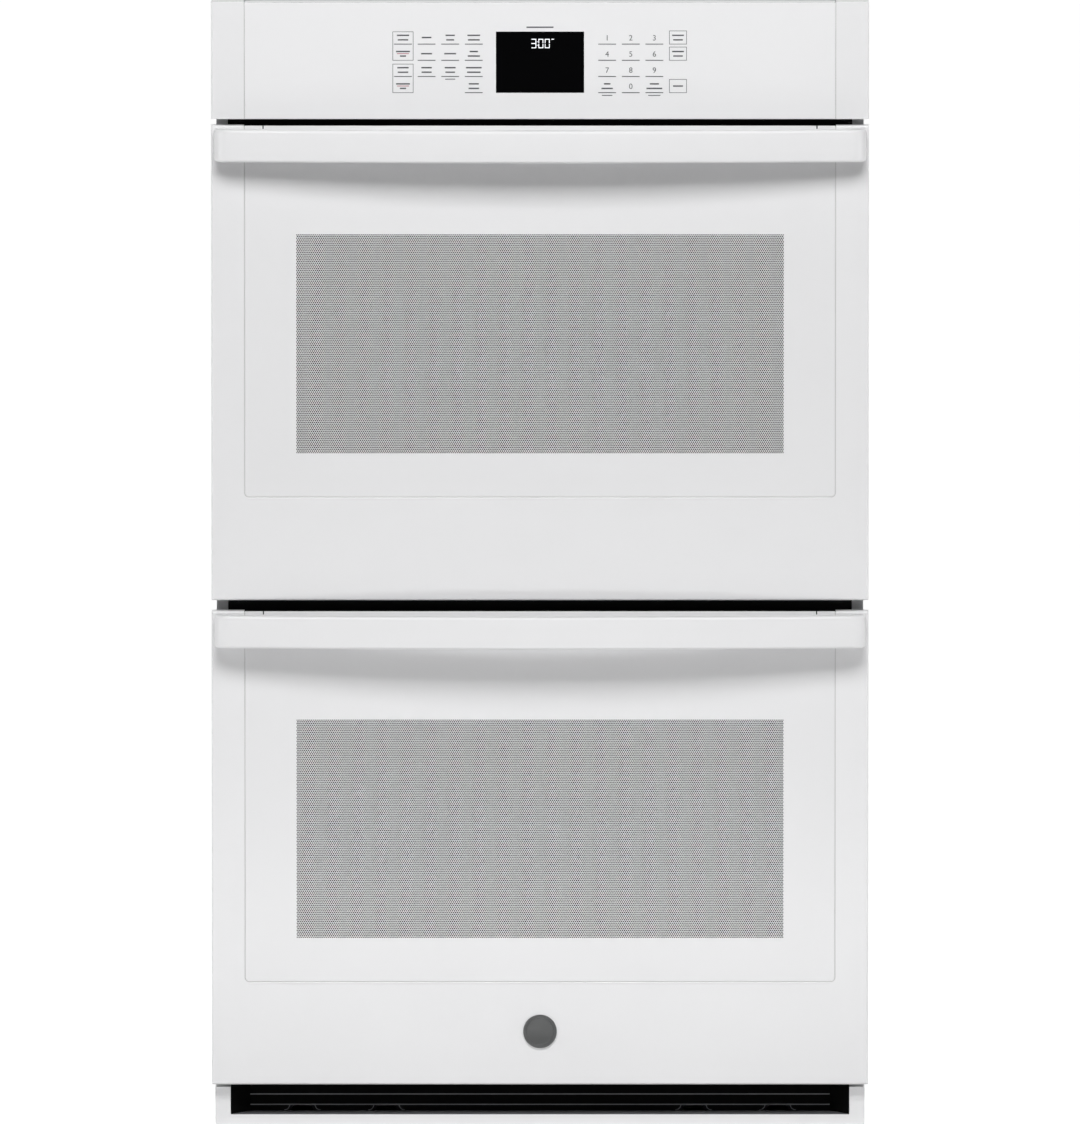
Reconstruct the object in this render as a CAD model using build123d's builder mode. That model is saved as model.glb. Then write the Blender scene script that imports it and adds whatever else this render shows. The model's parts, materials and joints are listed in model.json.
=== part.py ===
from build123d import *
import os
from math import cos, radians, sin, tan

# Built-in double wall oven, 30 in class. Millimetres, +Z up, the fronts face -Y.
# The origin is under the middle of the whole oven, on the cabinet shelf that carries it.

# Fronts, as seen from the room
front_width = 755.65      # doors and control panel, 29 3/4 in
door_height = 547.0
door_thickness = 42.0
door_lift = 49.2          # shelf to the lower door's bottom edge
door_gap = 12.4           # between the two doors
panel_gap = 7.3           # between the upper door and the control panel
panel_height = 133.8
cap_rise = 1.0            # the end caps stand above the panel glass
rail_width = 38.2         # painted rail at each side of a glass
seam = 0.8                # joint between a glass and its rails
glass_sheet = 4.0
glass_foot = 119.2        # door's bottom edge to its glass
glass_corner = 5.0
glass_bevel = 0.4
slit_inset = 21.2         # short slits in the glass's top edge, from its ends
slit_width = 1.4
slit_depth = 4.0
window_margin = 97.8       # front's edge to the dotted window
window_height = 252.3
window_rise = 169.5       # door's bottom edge to the dotted window

# Depths
handle_reach = 55.0       # door face to the front of the handle
frame_gap = 5.0           # closed door to the front frame
case_depth = 577.45       # front frame to the back

# Case
case_inset = 17.3         # case side behind the front's edge
case_drop = 21.7          # case top below the top of the end caps
case_sheet = 1.2
base_sheet = 1.5
base_flange = 12.0
frame_sheet = 2.0
frame_foot = 47.0         # lower edge of the front frame
bead_width = 26.0
bead_depth = 3.0
bead_draft = 30.0
bead_count = 3
vent_length = 60.0
vent_width = 6.0
vent_pitch = 16.0
vent_count = 8

# Trims
trim_sheet = 1.5
trim_inset = 5.6          # side trim's edge behind the front's edge
trim_leg = 20.0
mount_hole = 4.5          # cabinet screw holes
mount_low = 330.0
mount_high = 890.0
foot_inset = 3.8          # bottom trim's end behind the front's edge
foot_setback = 15.0       # behind the door faces
foot_base = 1.5
foot_rail = 11.7
foot_post = 17.6
foot_top = 45.0
baffle_inset = 22.0       # how far the baffle's ends slant inwards
baffle_gap = 3.0
notch_width = 29.0
notch_height = 8.0
notch_slant = 60.0
notch_far = 100.0         # outer notch from the trim's end
notch_pitch = 97.0

# Ovens
cavity_side = 55.5        # case side to the oven's inside
cavity_rise = 77.7        # door's bottom edge to the oven floor
cavity_headroom = 33.3    # oven roof to the door's top edge
rear_space = 55.45        # oven's back wall to the back of the case
liner_sheet = 1.5
liner_bend = 15.0
mouth_corner = 12.0
insulation_thickness = 30.0
bake_space = 10.0
fit_gap = 0.3             # loose fit between pieces that don't move
gasket_inset = 4.0        # mouth's edge to the gasket
gasket_width = 10.0

# Rack guides and racks
wire_sides = 6            # thin wires and tubes are drawn with flat sides
round_sides = 8           # and so are small round ends that fit nothing
drum_sides = 16           # and larger ones
rib_height = 12.0
rib_reach = 8.0
rib_draft = 20.0
rib_pitch = 60.0
rib_first = 80.0
rib_count = 6
rib_margin = 20.0
rack_clear = 1.5          # rack to each oven side
rack_front = 12.0         # rack behind the front frame
rack_rear = 30.0          # rack to the back wall
rack_wire = 6.0
rack_bar = 3.6
rack_bars = 12
bar_sides = 4
rack_corner = 24.0
low_rack = 1              # guide that carries each rack, counted from the lowest
high_rack = 3

# Heating elements, lamp and sensor
element_tube = 7.5
element_bend = 22.0
broil_drop = 34.0         # below the oven roof
broil_pitch = 70.0
broil_front = 70.0
broil_rear = 60.0
terminal_place = 30.0
terminal_reach = 24.0
terminal_plate = 2.0
lamp_inset = 105.0        # oven's side to the lamp
lamp_drop = 95.0
lamp_radius = 26.0
lamp_dome = 20.0
lamp_edge = 8.0
socket_radius = 19.0
socket_depth = 22.0
sensor_inset = 125.0      # oven's other side to the sensor
sensor_drop = 62.0
sensor_radius = 2.6
sensor_reach = 110.0

# Doors
skin_sheet = 1.5
skin_depth = 22.0
skin_edge = 2.5
lip_width = 8.0
pan_overlap = 8.0         # inner panel inside the skin
pan_foot = 10.0           # door's bottom edge to the inner panel
plug_margin = 14.0        # raised middle of the inner panel, inside the mouth
plug_rise = 8.0
plug_draft = 20.0
plug_corner = 16.0
inner_window_inset = 22.0
inner_glass_lap = 12.0
cap_drop = 5.0            # black top strip below the door's top edge
cap_flange = 20.0
cap_slots = 10
cap_slot_length = 40.0
cap_slot_width = 4.0

# Handles
handle_bar = 16.0
handle_height = 35.0
handle_edge = 4.0
handle_inset = 3.8        # handle's end behind the front's edge
handle_drop = 3.0         # below the door's top edge
handle_corner = 14.0
bow_angle = 6.5
bolt_radius = 2.5
bolt_depth = 12.0
bolt_head = 5.0
bolt_head_height = 3.0

# Hinges
pivot_depth = 11.0        # door face to the hinge pin
pivot_rise = 13.0         # door's bottom edge to the hinge pin
pin_radius = 3.0
pin_clear = 0.05
arm_sheet = 6.0
arm_half = 5.5
arm_length = 84.0
arm_clear = 0.5
hinge_sheet = 2.0
hinge_front = 2.0
hinge_height = 100.0
notch_clear = 1.5
receiver_wall = 2.0

# Door locks
hook_sheet = 3.0
hook_length = 40.0
hook_width = 8.0
hook_barb = 7.0
hook_pivot_back = 14.0    # behind the front frame
lock_shaft = 2.5
lock_slot_width = 70.0
lock_slot_height = 8.0
lock_plate = 1.5
lock_motor_size = 40.0
lock_motor_height = 14.0

# Control panel
cap_wall = 1.6
cap_edge = 3.0
tray_sheet = 1.2
display_width = 101.4
display_height = 70.3
display_rise = 30.3       # panel's bottom edge to the display
board_width = 420.0
board_height = 92.0
board_sheet = 1.6
board_standoff = 8.0
standoff_radius = 3.0

# Cooling blower
bay_clear = 3.0           # bay floor above the upper door lock
wheel_radius = 32.0
wheel_bore = 25.0
wheel_length = 260.0
wheel_disc = 2.0
wheel_blades = 10
blade_sheet = 1.2
wheel_shaft = 4.0
scroll_clear = 5.0
scroll_sheet = 1.2
blower_place = 60.0       # depth of the wheel's axis
motor_radius = 28.0
motor_length = 45.0
shaft_clear = 0.08

# Mains junction box
box_inset = 120.5         # case side to the conduit
box_width = 100.0
box_height = 76.0
box_depth = 50.0
box_drop = 60.0           # below the case top
box_sheet = 1.5
conduit_radius = 11.1
conduit_wall = 4.0
conduit_length = 14.0

# Heights that follow from the sizes
front_half = front_width / 2
oven_pitch = door_height + door_gap
door_top = door_lift + door_height
panel_foot = door_lift + oven_pitch + door_height + panel_gap
panel_top = panel_foot + panel_height
overall_height = panel_top + cap_rise
case_top_z = overall_height - case_drop
cavity_foot = door_lift + cavity_rise
cavity_top = door_top - cavity_headroom
cavity_height = cavity_top - cavity_foot
cavity_middle = (cavity_foot + cavity_top) / 2
glass_z = door_lift + glass_foot
window_middle = door_lift + window_rise + window_height / 2
handle_z = door_top - handle_drop - handle_height / 2
pivot_z = door_lift + pivot_rise
lock_z = (cavity_top + gasket_inset + gasket_width + door_top - skin_sheet) / 2
lock_top = lock_z + hook_sheet / 2 + fit_gap + lock_plate + lock_motor_height
bay_floor = lock_top + oven_pitch + bay_clear
shelf_top = cavity_foot + oven_pitch - liner_sheet - bake_space - insulation_thickness - fit_gap

# Depths that follow, from the front of the handles to the back
overall_depth = handle_reach + door_thickness + frame_gap + case_depth
back = overall_depth / 2
frame_front = back - case_depth
frame_back = frame_front + frame_sheet
door_back = frame_front - frame_gap
door_face = door_back - door_thickness
handle_front = door_face - handle_reach
pivot_y = door_face + pivot_depth
cavity_depth = case_depth - frame_sheet - rear_space
cavity_back = frame_back + cavity_depth
case_inside = back - case_sheet

# Widths that follow
case_half = front_half - case_inset
case_width = 2 * case_half
trim_inner = case_half - trim_sheet
trim_outer = front_half - trim_inset
mount_place = (case_half + trim_sheet + trim_outer) / 2
foot_half = front_half - foot_inset
handle_half = front_half - handle_inset
window_width = front_width - 2 * window_margin
cavity_half = case_half - cavity_side
cavity_width = 2 * cavity_half
lamp_place = cavity_half - lamp_inset
sensor_place = cavity_half - sensor_inset
box_place = case_half - box_inset
glass_half = front_half - rail_width - seam / 2
rail_inner = glass_half + seam
slit_place = glass_half - slit_inset
hinge_x = (cavity_half + case_half) / 2
pan_half = front_half - skin_sheet - fit_gap
pan_top = door_top - skin_sheet - fit_gap
pan_depth = door_thickness - skin_depth + pan_overlap

os.makedirs("parts", exist_ok=True)


def front_plane(y):
    """Sketch plane at depth y that faces the room: its x is X and its y is Z."""
    return Plane.XZ.offset(-y)


def slab(x, y, z, mode=Mode.ADD):
    """A box between two values along each axis."""
    with Locations(((x[0] + x[1]) / 2, (y[0] + y[1]) / 2, (z[0] + z[1]) / 2)):
        Box(x[1] - x[0], y[1] - y[0], z[1] - z[0], mode=mode)


def save(piece, name):
    piece.part.label = name
    export_step(piece.part, f"parts/{name}.step")


def save_pair(piece, name):
    """Write a piece of the lower oven, and its copy in the upper oven."""
    save(piece, f"lower_{name}")
    with BuildPart() as upper:
        with Locations((0, 0, oven_pitch)):
            add(piece.part)
    save(upper, f"upper_{name}")


def save_both(piece, name):
    """Write a piece of the lower oven and its copy in the upper oven as one node."""
    with BuildPart() as both:
        with Locations((0, 0, 0), (0, 0, oven_pitch)):
            add(piece.part)
    save(both, name)


def mirrored(piece):
    with BuildPart() as other:
        mirror(piece.part, about=Plane.YZ)
    return other


def bent(route, cut):
    """A tube's route with each inner corner taken as a short slanted run."""
    points = [route[0]]
    for before, corner, after in zip(route, route[1:], route[2:]):
        for end in (before, after):
            step = (Vector(end) - Vector(corner)).normalized() * cut
            points.append((corner[0] + step.X, corner[1] + step.Y))
    return points + [route[-1]]


# Case: base pan
pan_x = case_half - case_sheet
with BuildPart() as base_pan:
    with BuildSketch():
        with Locations((0, (frame_front + case_inside) / 2)):
            Rectangle(2 * pan_x, case_inside - frame_front)
    extrude(amount=base_flange)
    offset(amount=-base_sheet, openings=base_pan.faces().sort_by(Axis.Z)[-1])
    with BuildSketch(Plane.XY.offset(base_sheet)):
        with GridLocations(case_half, 0, 2, 1):
            with Locations((0, (frame_front + case_inside) / 2)):
                Rectangle(bead_width + 2 * base_sheet, case_depth / 2)
    extrude(amount=bead_depth, taper=bead_draft)
    with BuildSketch():
        with GridLocations(case_half, 0, 2, 1):
            with Locations((0, (frame_front + case_inside) / 2)):
                Rectangle(bead_width, case_depth / 2 - 2 * base_sheet)
    extrude(amount=bead_depth, taper=bead_draft, mode=Mode.SUBTRACT)
save(base_pan, "base_pan")

# Case: sides with pressed beads, and vent slots beside the control bay
vent_z = (bay_floor + case_top_z) / 2
bead_z = (base_flange + bay_floor) / 2
bead_length = bay_floor - base_flange - 2 * bead_width
side_y = (frame_back + case_inside) / 2
side_length = case_inside - frame_back
with BuildPart() as case_side:
    slab((case_half - case_sheet, case_half), (frame_back, case_inside), (0, case_top_z - case_sheet))
    with BuildSketch(Plane.YZ.offset(case_half - case_sheet)):
        with Locations((side_y, bead_z)):
            with GridLocations(side_length / (bead_count + 1), 0, bead_count, 1):
                Rectangle(bead_width + 2 * case_sheet, bead_length)
    extrude(amount=-bead_depth, taper=bead_draft)
    with BuildSketch(Plane.YZ.offset(case_half)):
        with Locations((side_y, bead_z)):
            with GridLocations(side_length / (bead_count + 1), 0, bead_count, 1):
                Rectangle(bead_width, bead_length - 2 * case_sheet)
    extrude(amount=-bead_depth, taper=bead_draft, mode=Mode.SUBTRACT)
    with BuildSketch(Plane.YZ.offset(case_half)):
        with Locations((side_y, vent_z)):
            with GridLocations(vent_pitch, 0, vent_count, 1):
                Rectangle(vent_width, vent_length)
    extrude(amount=-case_sheet, mode=Mode.SUBTRACT)
save(case_side, "case_side_right")
save(mirrored(case_side), "case_side_left")

# Case: top, with vent slots over the blower
with BuildPart() as case_top:
    slab((-case_half, case_half), (frame_back, back), (case_top_z - case_sheet, case_top_z))
    with BuildSketch(Plane.XY.offset(case_top_z)):
        with Locations((0, blower_place)):
            with GridLocations(vent_pitch, 0, vent_count, 1):
                Rectangle(vent_width, vent_length)
    extrude(amount=-case_sheet, mode=Mode.SUBTRACT)
save(case_top, "case_top")

# Case: back, with a pressed panel behind each oven and the hole for the conduit
box_z = case_top_z - box_drop
panel_press = cavity_width - 2 * bead_width
with BuildPart() as case_back:
    slab((-case_half, case_half), (case_inside, back), (0, case_top_z - case_sheet))
    for centre in (cavity_middle, cavity_middle + oven_pitch):
        with BuildSketch(front_plane(case_inside)):
            with Locations((0, centre)):
                Rectangle(panel_press, cavity_height)
        extrude(amount=bead_depth, taper=bead_draft)
        with BuildSketch(front_plane(back)):
            with Locations((0, centre)):
                Rectangle(panel_press - 2 * case_sheet, cavity_height - 2 * case_sheet)
        extrude(amount=bead_depth, taper=bead_draft, mode=Mode.SUBTRACT)
    with BuildSketch(front_plane(back)):
        with Locations((box_place, box_z)):
            RegularPolygon(conduit_radius + conduit_wall + fit_gap, round_sides)
    extrude(amount=case_sheet, mode=Mode.SUBTRACT)
save(case_back, "case_back")

# Case: shelf between the ovens, with its front edge bent down
shelf_half = pan_x - bead_depth - fit_gap
with BuildPart() as mid_shelf:
    slab((-shelf_half, shelf_half), (frame_back, case_inside), (shelf_top - case_sheet, shelf_top))
    slab((-cavity_half, cavity_half), (frame_back, frame_back + case_sheet),
         (shelf_top - base_flange, shelf_top))
save(mid_shelf, "mid_shelf")

# Front frame: one plate with two oven mouths, hinge slots, lock slots and a window behind the controls
slot_half = arm_half + notch_clear
with BuildPart() as front_frame:
    with BuildSketch(front_plane(frame_front)):
        with Locations((0, (frame_foot + case_top_z) / 2)):
            Rectangle(case_width, case_top_z - frame_foot)
        for lift in (0, oven_pitch):
            with Locations((0, cavity_middle + lift)):
                RectangleRounded(cavity_width, cavity_height, mouth_corner, mode=Mode.SUBTRACT)
            with Locations((-hinge_x, pivot_z + lift), (hinge_x, pivot_z + lift)):
                Rectangle(arm_sheet + 2 * notch_clear, 2 * slot_half, mode=Mode.SUBTRACT)
            with Locations((hook_length / 2, lock_z + lift)):
                Rectangle(lock_slot_width, lock_slot_height, mode=Mode.SUBTRACT)
        with Locations((0, (panel_foot + case_top_z) / 2)):
            Rectangle(board_width, (case_top_z - panel_foot) / 2, mode=Mode.SUBTRACT)
    extrude(amount=-frame_sheet)
save(front_frame, "front_frame")

# Side trims, which cover the edge of the cabinet's cut-out and take the mounting screws
with BuildPart() as side_trim:
    with BuildSketch(Plane.XY.offset(foot_top)):
        with Locations(((trim_inner + trim_outer) / 2, frame_front - trim_sheet / 2)):
            Rectangle(trim_outer - trim_inner, trim_sheet)
        with Locations((case_half + trim_sheet / 2, frame_front + trim_leg / 2)):
            Rectangle(trim_sheet, trim_leg)
    extrude(amount=panel_foot - foot_top)
    with BuildSketch(front_plane(frame_front)):
        with Locations((mount_place, mount_low), (mount_place, mount_high)):
            Circle(mount_hole / 2)
    extrude(amount=trim_sheet, mode=Mode.SUBTRACT)
save(side_trim, "side_trim_right")
save(mirrored(side_trim), "side_trim_left")

# Bottom trim: a U of two posts and a rail, hollow from behind
foot_front = door_face + foot_setback
with BuildPart() as bottom_trim:
    with BuildSketch(front_plane(frame_front)):
        with Locations((0, (foot_base + foot_top) / 2)):
            Rectangle(2 * foot_half, foot_top - foot_base)
        with Locations((0, foot_base + foot_rail + foot_top / 2)):
            Rectangle(2 * (foot_half - foot_post), foot_top, mode=Mode.SUBTRACT)
    extrude(amount=frame_front - foot_front)
    offset(amount=-trim_sheet, openings=bottom_trim.faces().sort_by(Axis.Y)[-1])
save(bottom_trim, "bottom_trim")

# Vent baffle: a black strip with slanted ends and four notches along its lower edge
baffle_half = foot_half - foot_post - fit_gap
baffle_back = frame_front - baffle_gap
baffle_foot = foot_base + foot_rail
with BuildPart() as vent_baffle:
    with BuildSketch(Plane.XY.offset(baffle_foot)):
        with BuildLine():
            Polyline((-baffle_half, foot_front + trim_sheet), (-baffle_half + baffle_inset, baffle_back),
                     (baffle_half - baffle_inset, baffle_back), (baffle_half, foot_front + trim_sheet),
                     (baffle_half, baffle_back + trim_sheet), (-baffle_half, baffle_back + trim_sheet),
                     close=True)
        make_face()
    extrude(amount=foot_top - baffle_foot)
    with BuildSketch(front_plane(baffle_back)):
        for place in (foot_half - notch_far, foot_half - notch_far - notch_pitch):
            with Locations((-place, baffle_foot + notch_height / 2), (place, baffle_foot + notch_height / 2)):
                Trapezoid(notch_width, notch_height, notch_slant)
    extrude(amount=-trim_sheet, mode=Mode.SUBTRACT)
save(vent_baffle, "vent_baffle")

# Oven liner: roof, back and floor bent from one sheet
liner_mid_y = (frame_back + cavity_back) / 2
lamp_z = cavity_top - lamp_drop
sensor_z = cavity_top - sensor_drop
broil_z = cavity_top - broil_drop
bake_z = cavity_foot - liner_sheet - fit_gap - element_tube / 2
with BuildPart() as liner:
    with BuildSketch(Plane.YZ) as wrap:
        with Locations((liner_mid_y + liner_sheet / 2, cavity_middle)):
            Rectangle(cavity_depth + liner_sheet, cavity_height + 2 * liner_sheet)
        fillet(wrap.vertices().group_by(Axis.X)[-1], liner_bend + liner_sheet)
    extrude(amount=cavity_half, both=True)
    with BuildSketch(Plane.YZ) as hollow:
        with Locations((liner_mid_y, cavity_middle)):
            Rectangle(cavity_depth, cavity_height)
        fillet(hollow.vertices().group_by(Axis.X)[-1], liner_bend)
    extrude(amount=cavity_half, both=True, mode=Mode.SUBTRACT)
    with BuildSketch(front_plane(cavity_back)):
        with Locations((lamp_place, lamp_z)):
            RegularPolygon(socket_radius + 2 * fit_gap, round_sides)
        with Locations((-sensor_place, sensor_z)):
            RegularPolygon(sensor_radius + fit_gap, wire_sides, major_radius=False)
        with Locations((-terminal_place, broil_z), (terminal_place, broil_z)):
            RegularPolygon(element_tube / 2 + fit_gap, wire_sides, major_radius=False)
    extrude(amount=-liner_sheet, mode=Mode.SUBTRACT)
save_pair(liner, "liner")

# Oven liner sides, each pressed with six guides for the racks
with BuildPart() as liner_side:
    slab((cavity_half, cavity_half + liner_sheet), (frame_back, cavity_back + liner_sheet),
         (cavity_foot - liner_sheet, cavity_top + liner_sheet))
    with BuildSketch(Plane.YZ.offset(cavity_half)):
        for rib in range(rib_count):
            with Locations((liner_mid_y, cavity_foot + rib_first + rib * rib_pitch)):
                Rectangle(cavity_depth - 2 * rib_margin, rib_height)
    extrude(amount=-rib_reach, taper=rib_draft)
save_pair(liner_side, "liner_side_right")
save_pair(mirrored(liner_side), "liner_side_left")

# Insulation round each oven, open at the mouth
wool_half = cavity_half + liner_sheet + fit_gap
wool_foot = cavity_foot - liner_sheet - bake_space
wool_top = cavity_top + liner_sheet + fit_gap
wool_back = cavity_back + liner_sheet + fit_gap
wool = insulation_thickness - fit_gap
with BuildPart() as insulation:
    slab((-wool_half - wool, wool_half + wool), (frame_back + fit_gap, wool_back + wool),
         (wool_foot - wool, wool_top + wool))
    slab((-wool_half, wool_half), (frame_back, wool_back), (wool_foot, wool_top), mode=Mode.SUBTRACT)
    slab((-lock_motor_size, hook_length + lock_motor_size),
         (frame_back, frame_back + hook_pivot_back + lock_motor_size),
         (wool_top - wool, wool_top + 2 * wool), mode=Mode.SUBTRACT)
    with BuildSketch(front_plane(wool_back)):
        with Locations((lamp_place, lamp_z)):
            Rectangle(2 * lamp_radius, 2 * lamp_radius)
        with Locations((-sensor_place, sensor_z)):
            Rectangle(lamp_radius, lamp_radius)
        with Locations((0, broil_z), (0, bake_z)):
            Rectangle(4 * terminal_place, 2 * element_tube)
    extrude(amount=-wool, mode=Mode.SUBTRACT)
save_both(insulation, "insulation_blankets")

# Broil element: a bent tube that hangs under the roof from a plate on the back wall
with BuildPart() as broil_element:
    rear = cavity_back - broil_rear
    front = frame_back + broil_front
    with BuildLine(Plane.XY.offset(broil_z)) as broil_path:
        half_run = [(terminal_place, cavity_back + terminal_reach), (terminal_place, rear),
                    (3 * broil_pitch, rear), (3 * broil_pitch, front), (broil_pitch, front),
                    (broil_pitch, rear - broil_pitch)]
        Polyline(bent(half_run + [(-x, y) for x, y in reversed(half_run)], element_bend))
    with BuildSketch(front_plane(cavity_back + terminal_reach)):
        with Locations((terminal_place, broil_z)):
            RegularPolygon(element_tube / 2, wire_sides)
    sweep(path=broil_path.wire(), transition=Transition.RIGHT)
    with BuildSketch(front_plane(cavity_back)):
        with Locations((0, broil_z)):
            Rectangle(4 * terminal_place, 2 * element_tube)
    extrude(amount=terminal_plate)
save_pair(broil_element, "broil_element")

# Bake element: a tube loop hidden under the oven floor
bake_half = cavity_half - cavity_side
with BuildPart() as bake_element:
    rear = cavity_back - broil_rear
    front = frame_back + broil_front
    with BuildLine(Plane.XY.offset(bake_z)) as bake_path:
        half_run = [(terminal_place, wool_back + wool), (terminal_place, rear), (bake_half, rear),
                    (bake_half, front)]
        Polyline(bent(half_run + [(-x, y) for x, y in reversed(half_run)], element_bend))
    with BuildSketch(front_plane(wool_back + wool)):
        with Locations((terminal_place, bake_z)):
            RegularPolygon(element_tube / 2, wire_sides)
    sweep(path=bake_path.wire(), transition=Transition.RIGHT)
save_both(bake_element, "bake_elements")

# Door gasket, a flattened ring round each mouth
gasket_outer = gasket_inset + gasket_width
with BuildPart() as gasket:
    with BuildSketch(front_plane(frame_front)) as ring:
        with Locations((0, cavity_middle)):
            Rectangle(cavity_width + 2 * gasket_outer, cavity_height + 2 * gasket_outer)
        chamfer(ring.vertices(), mouth_corner + gasket_width / 2)
    extrude(amount=frame_gap - fit_gap)
    with BuildSketch(front_plane(frame_front)) as ring_hole:
        with Locations((0, cavity_middle)):
            Rectangle(cavity_width + 2 * gasket_inset, cavity_height + 2 * gasket_inset)
        chamfer(ring_hole.vertices(), mouth_corner)
    extrude(amount=frame_gap - fit_gap, mode=Mode.SUBTRACT)
save_pair(gasket, "gasket")

# Lamp: faceted lens inside the oven, socket behind the back wall
with BuildPart() as lamp_lens:
    with BuildSketch(front_plane(cavity_back)):
        with Locations((lamp_place, lamp_z)):
            RegularPolygon(lamp_radius, drum_sides)
    extrude(amount=lamp_dome)
    chamfer(lamp_lens.faces().sort_by(Axis.Y)[0].edges(), lamp_edge)
save_both(lamp_lens, "lamp_lenses")
with BuildPart() as lamp_socket:
    with BuildSketch(front_plane(cavity_back)):
        with Locations((lamp_place, lamp_z)):
            RegularPolygon(socket_radius, round_sides)
    extrude(amount=-socket_depth)
save_both(lamp_socket, "lamp_sockets")

# Temperature sensor: a thin probe with its flange on the back wall
with BuildPart() as sensor:
    with BuildSketch(front_plane(cavity_back + terminal_reach)):
        with Locations((-sensor_place, sensor_z)):
            RegularPolygon(sensor_radius, wire_sides)
    extrude(amount=sensor_reach + terminal_reach)
    with BuildSketch(front_plane(cavity_back)):
        with Locations((-sensor_place, sensor_z)):
            Rectangle(8 * sensor_radius, 4 * sensor_radius)
    extrude(amount=terminal_plate)
save_both(sensor, "temperature_sensors")

# Racks: a bent wire frame with welded bars, resting on the slanted tops of the guides
wire_radius = rack_wire / 2
wire_x = cavity_half - rack_clear - wire_radius
rib_offset = rack_clear + wire_radius
seat = rib_height / 2 - rib_offset * tan(radians(rib_draft))
seat_rise = seat + (wire_radius + fit_gap) / cos(radians(rib_draft))
rack_near = frame_back + rack_front
rack_far = cavity_back - rack_rear
bar_pitch = 2 * wire_x / (rack_bars + 1)
for guide, name in ((low_rack, "rack_low"), (high_rack, "rack_high")):
    rack_z = cavity_foot + rib_first + guide * rib_pitch + seat_rise
    with BuildPart() as rack:
        with BuildLine(Plane.XY.offset(rack_z)) as loop:
            half_loop = [(0, rack_near), (wire_x, rack_near), (wire_x, rack_far), (0, rack_far)]
            right_half = Polyline(bent(half_loop, rack_corner))
            mirror(right_half, about=Plane.YZ)
        with BuildSketch(Plane.YZ):
            with Locations((rack_near, rack_z)):
                RegularPolygon(wire_radius, wire_sides)
        sweep(path=right_half, transition=Transition.RIGHT)
        mirror(about=Plane.YZ)
        with BuildSketch(front_plane(rack_far)):
            with Locations((0, rack_z)):
                with GridLocations(bar_pitch, 0, rack_bars, 1):
                    RegularPolygon(rack_bar / 2, bar_sides)
        extrude(amount=rack_far - rack_near)
        with BuildSketch(Plane.YZ.offset(-wire_x)):
            with Locations(((rack_near + rack_far) / 2, rack_z - rack_bar / 2)):
                RegularPolygon(rack_bar / 2, bar_sides)
        extrude(amount=2 * wire_x)
    save_pair(rack, name)

# Door skin: rails and bottom band in one pressed sheet, with a lip behind the glass
with BuildPart() as door_skin:
    slab((-front_half, front_half), (door_face, door_face + skin_depth), (door_lift, door_top))
    fillet(door_skin.faces().sort_by(Axis.Y)[0].edges(), skin_edge)
    slab((-front_half + skin_sheet, front_half - skin_sheet),
         (door_face + skin_sheet, door_face + skin_depth), (door_lift + skin_sheet, door_top - skin_sheet),
         mode=Mode.SUBTRACT)
    with BuildSketch(front_plane(door_face)) as lip:
        with Locations((0, (glass_z - seam + door_top) / 2 - skin_sheet)):
            Rectangle(2 * (rail_inner + skin_sheet), door_top - glass_z + seam)
        fillet(lip.vertices().group_by(Axis.Y)[0], glass_corner + seam + skin_sheet)
    extrude(amount=-glass_sheet - skin_sheet)
    with BuildSketch(front_plane(door_face)) as recess:
        with Locations((0, (glass_z - seam + door_top) / 2 + skin_sheet)):
            Rectangle(2 * rail_inner, door_top - glass_z + seam + 2 * skin_sheet)
        fillet(recess.vertices().group_by(Axis.Y)[0], glass_corner + seam)
    extrude(amount=-glass_sheet, mode=Mode.SUBTRACT)
    slab((-rail_inner + lip_width, rail_inner - lip_width), (door_face, door_face + skin_depth),
         (glass_z + lip_width, door_top + skin_sheet), mode=Mode.SUBTRACT)
    slab((-rail_inner, rail_inner), (door_face, door_face + skin_depth),
         (door_top - cap_drop, door_top + skin_sheet), mode=Mode.SUBTRACT)
    for side in (-1, 1):
        slab((side * hinge_x - arm_sheet / 2 - notch_clear, side * hinge_x + arm_sheet / 2 + notch_clear),
             (pivot_y - slot_half, door_back), (door_lift, door_lift + skin_sheet), mode=Mode.SUBTRACT)
    with BuildSketch(front_plane(door_face)):
        with Locations((-handle_half + handle_bar / 2, handle_z), (handle_half - handle_bar / 2, handle_z)):
            RegularPolygon(bolt_radius + fit_gap, wire_sides)
    extrude(amount=-skin_sheet, mode=Mode.SUBTRACT)
save_pair(door_skin, "door_skin")

# Door glass, white-fired, with two short slits in its top edge
with BuildPart() as door_glass:
    with BuildSketch(front_plane(door_face)) as pane:
        with Locations((0, (glass_z + door_top - glass_bevel) / 2)):
            Rectangle(2 * glass_half, door_top - glass_bevel - glass_z)
        fillet(pane.vertices().group_by(Axis.Y)[0], glass_corner)
    extrude(amount=-glass_sheet)
    chamfer(door_glass.faces().sort_by(Axis.Y)[0].edges(), glass_bevel)
    with BuildSketch(front_plane(door_face)):
        with Locations((-slit_place, door_top), (slit_place, door_top)):
            Rectangle(slit_width, 2 * slit_depth)
    extrude(amount=-glass_sheet, mode=Mode.SUBTRACT)
save_pair(door_glass, "door_glass")

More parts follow.
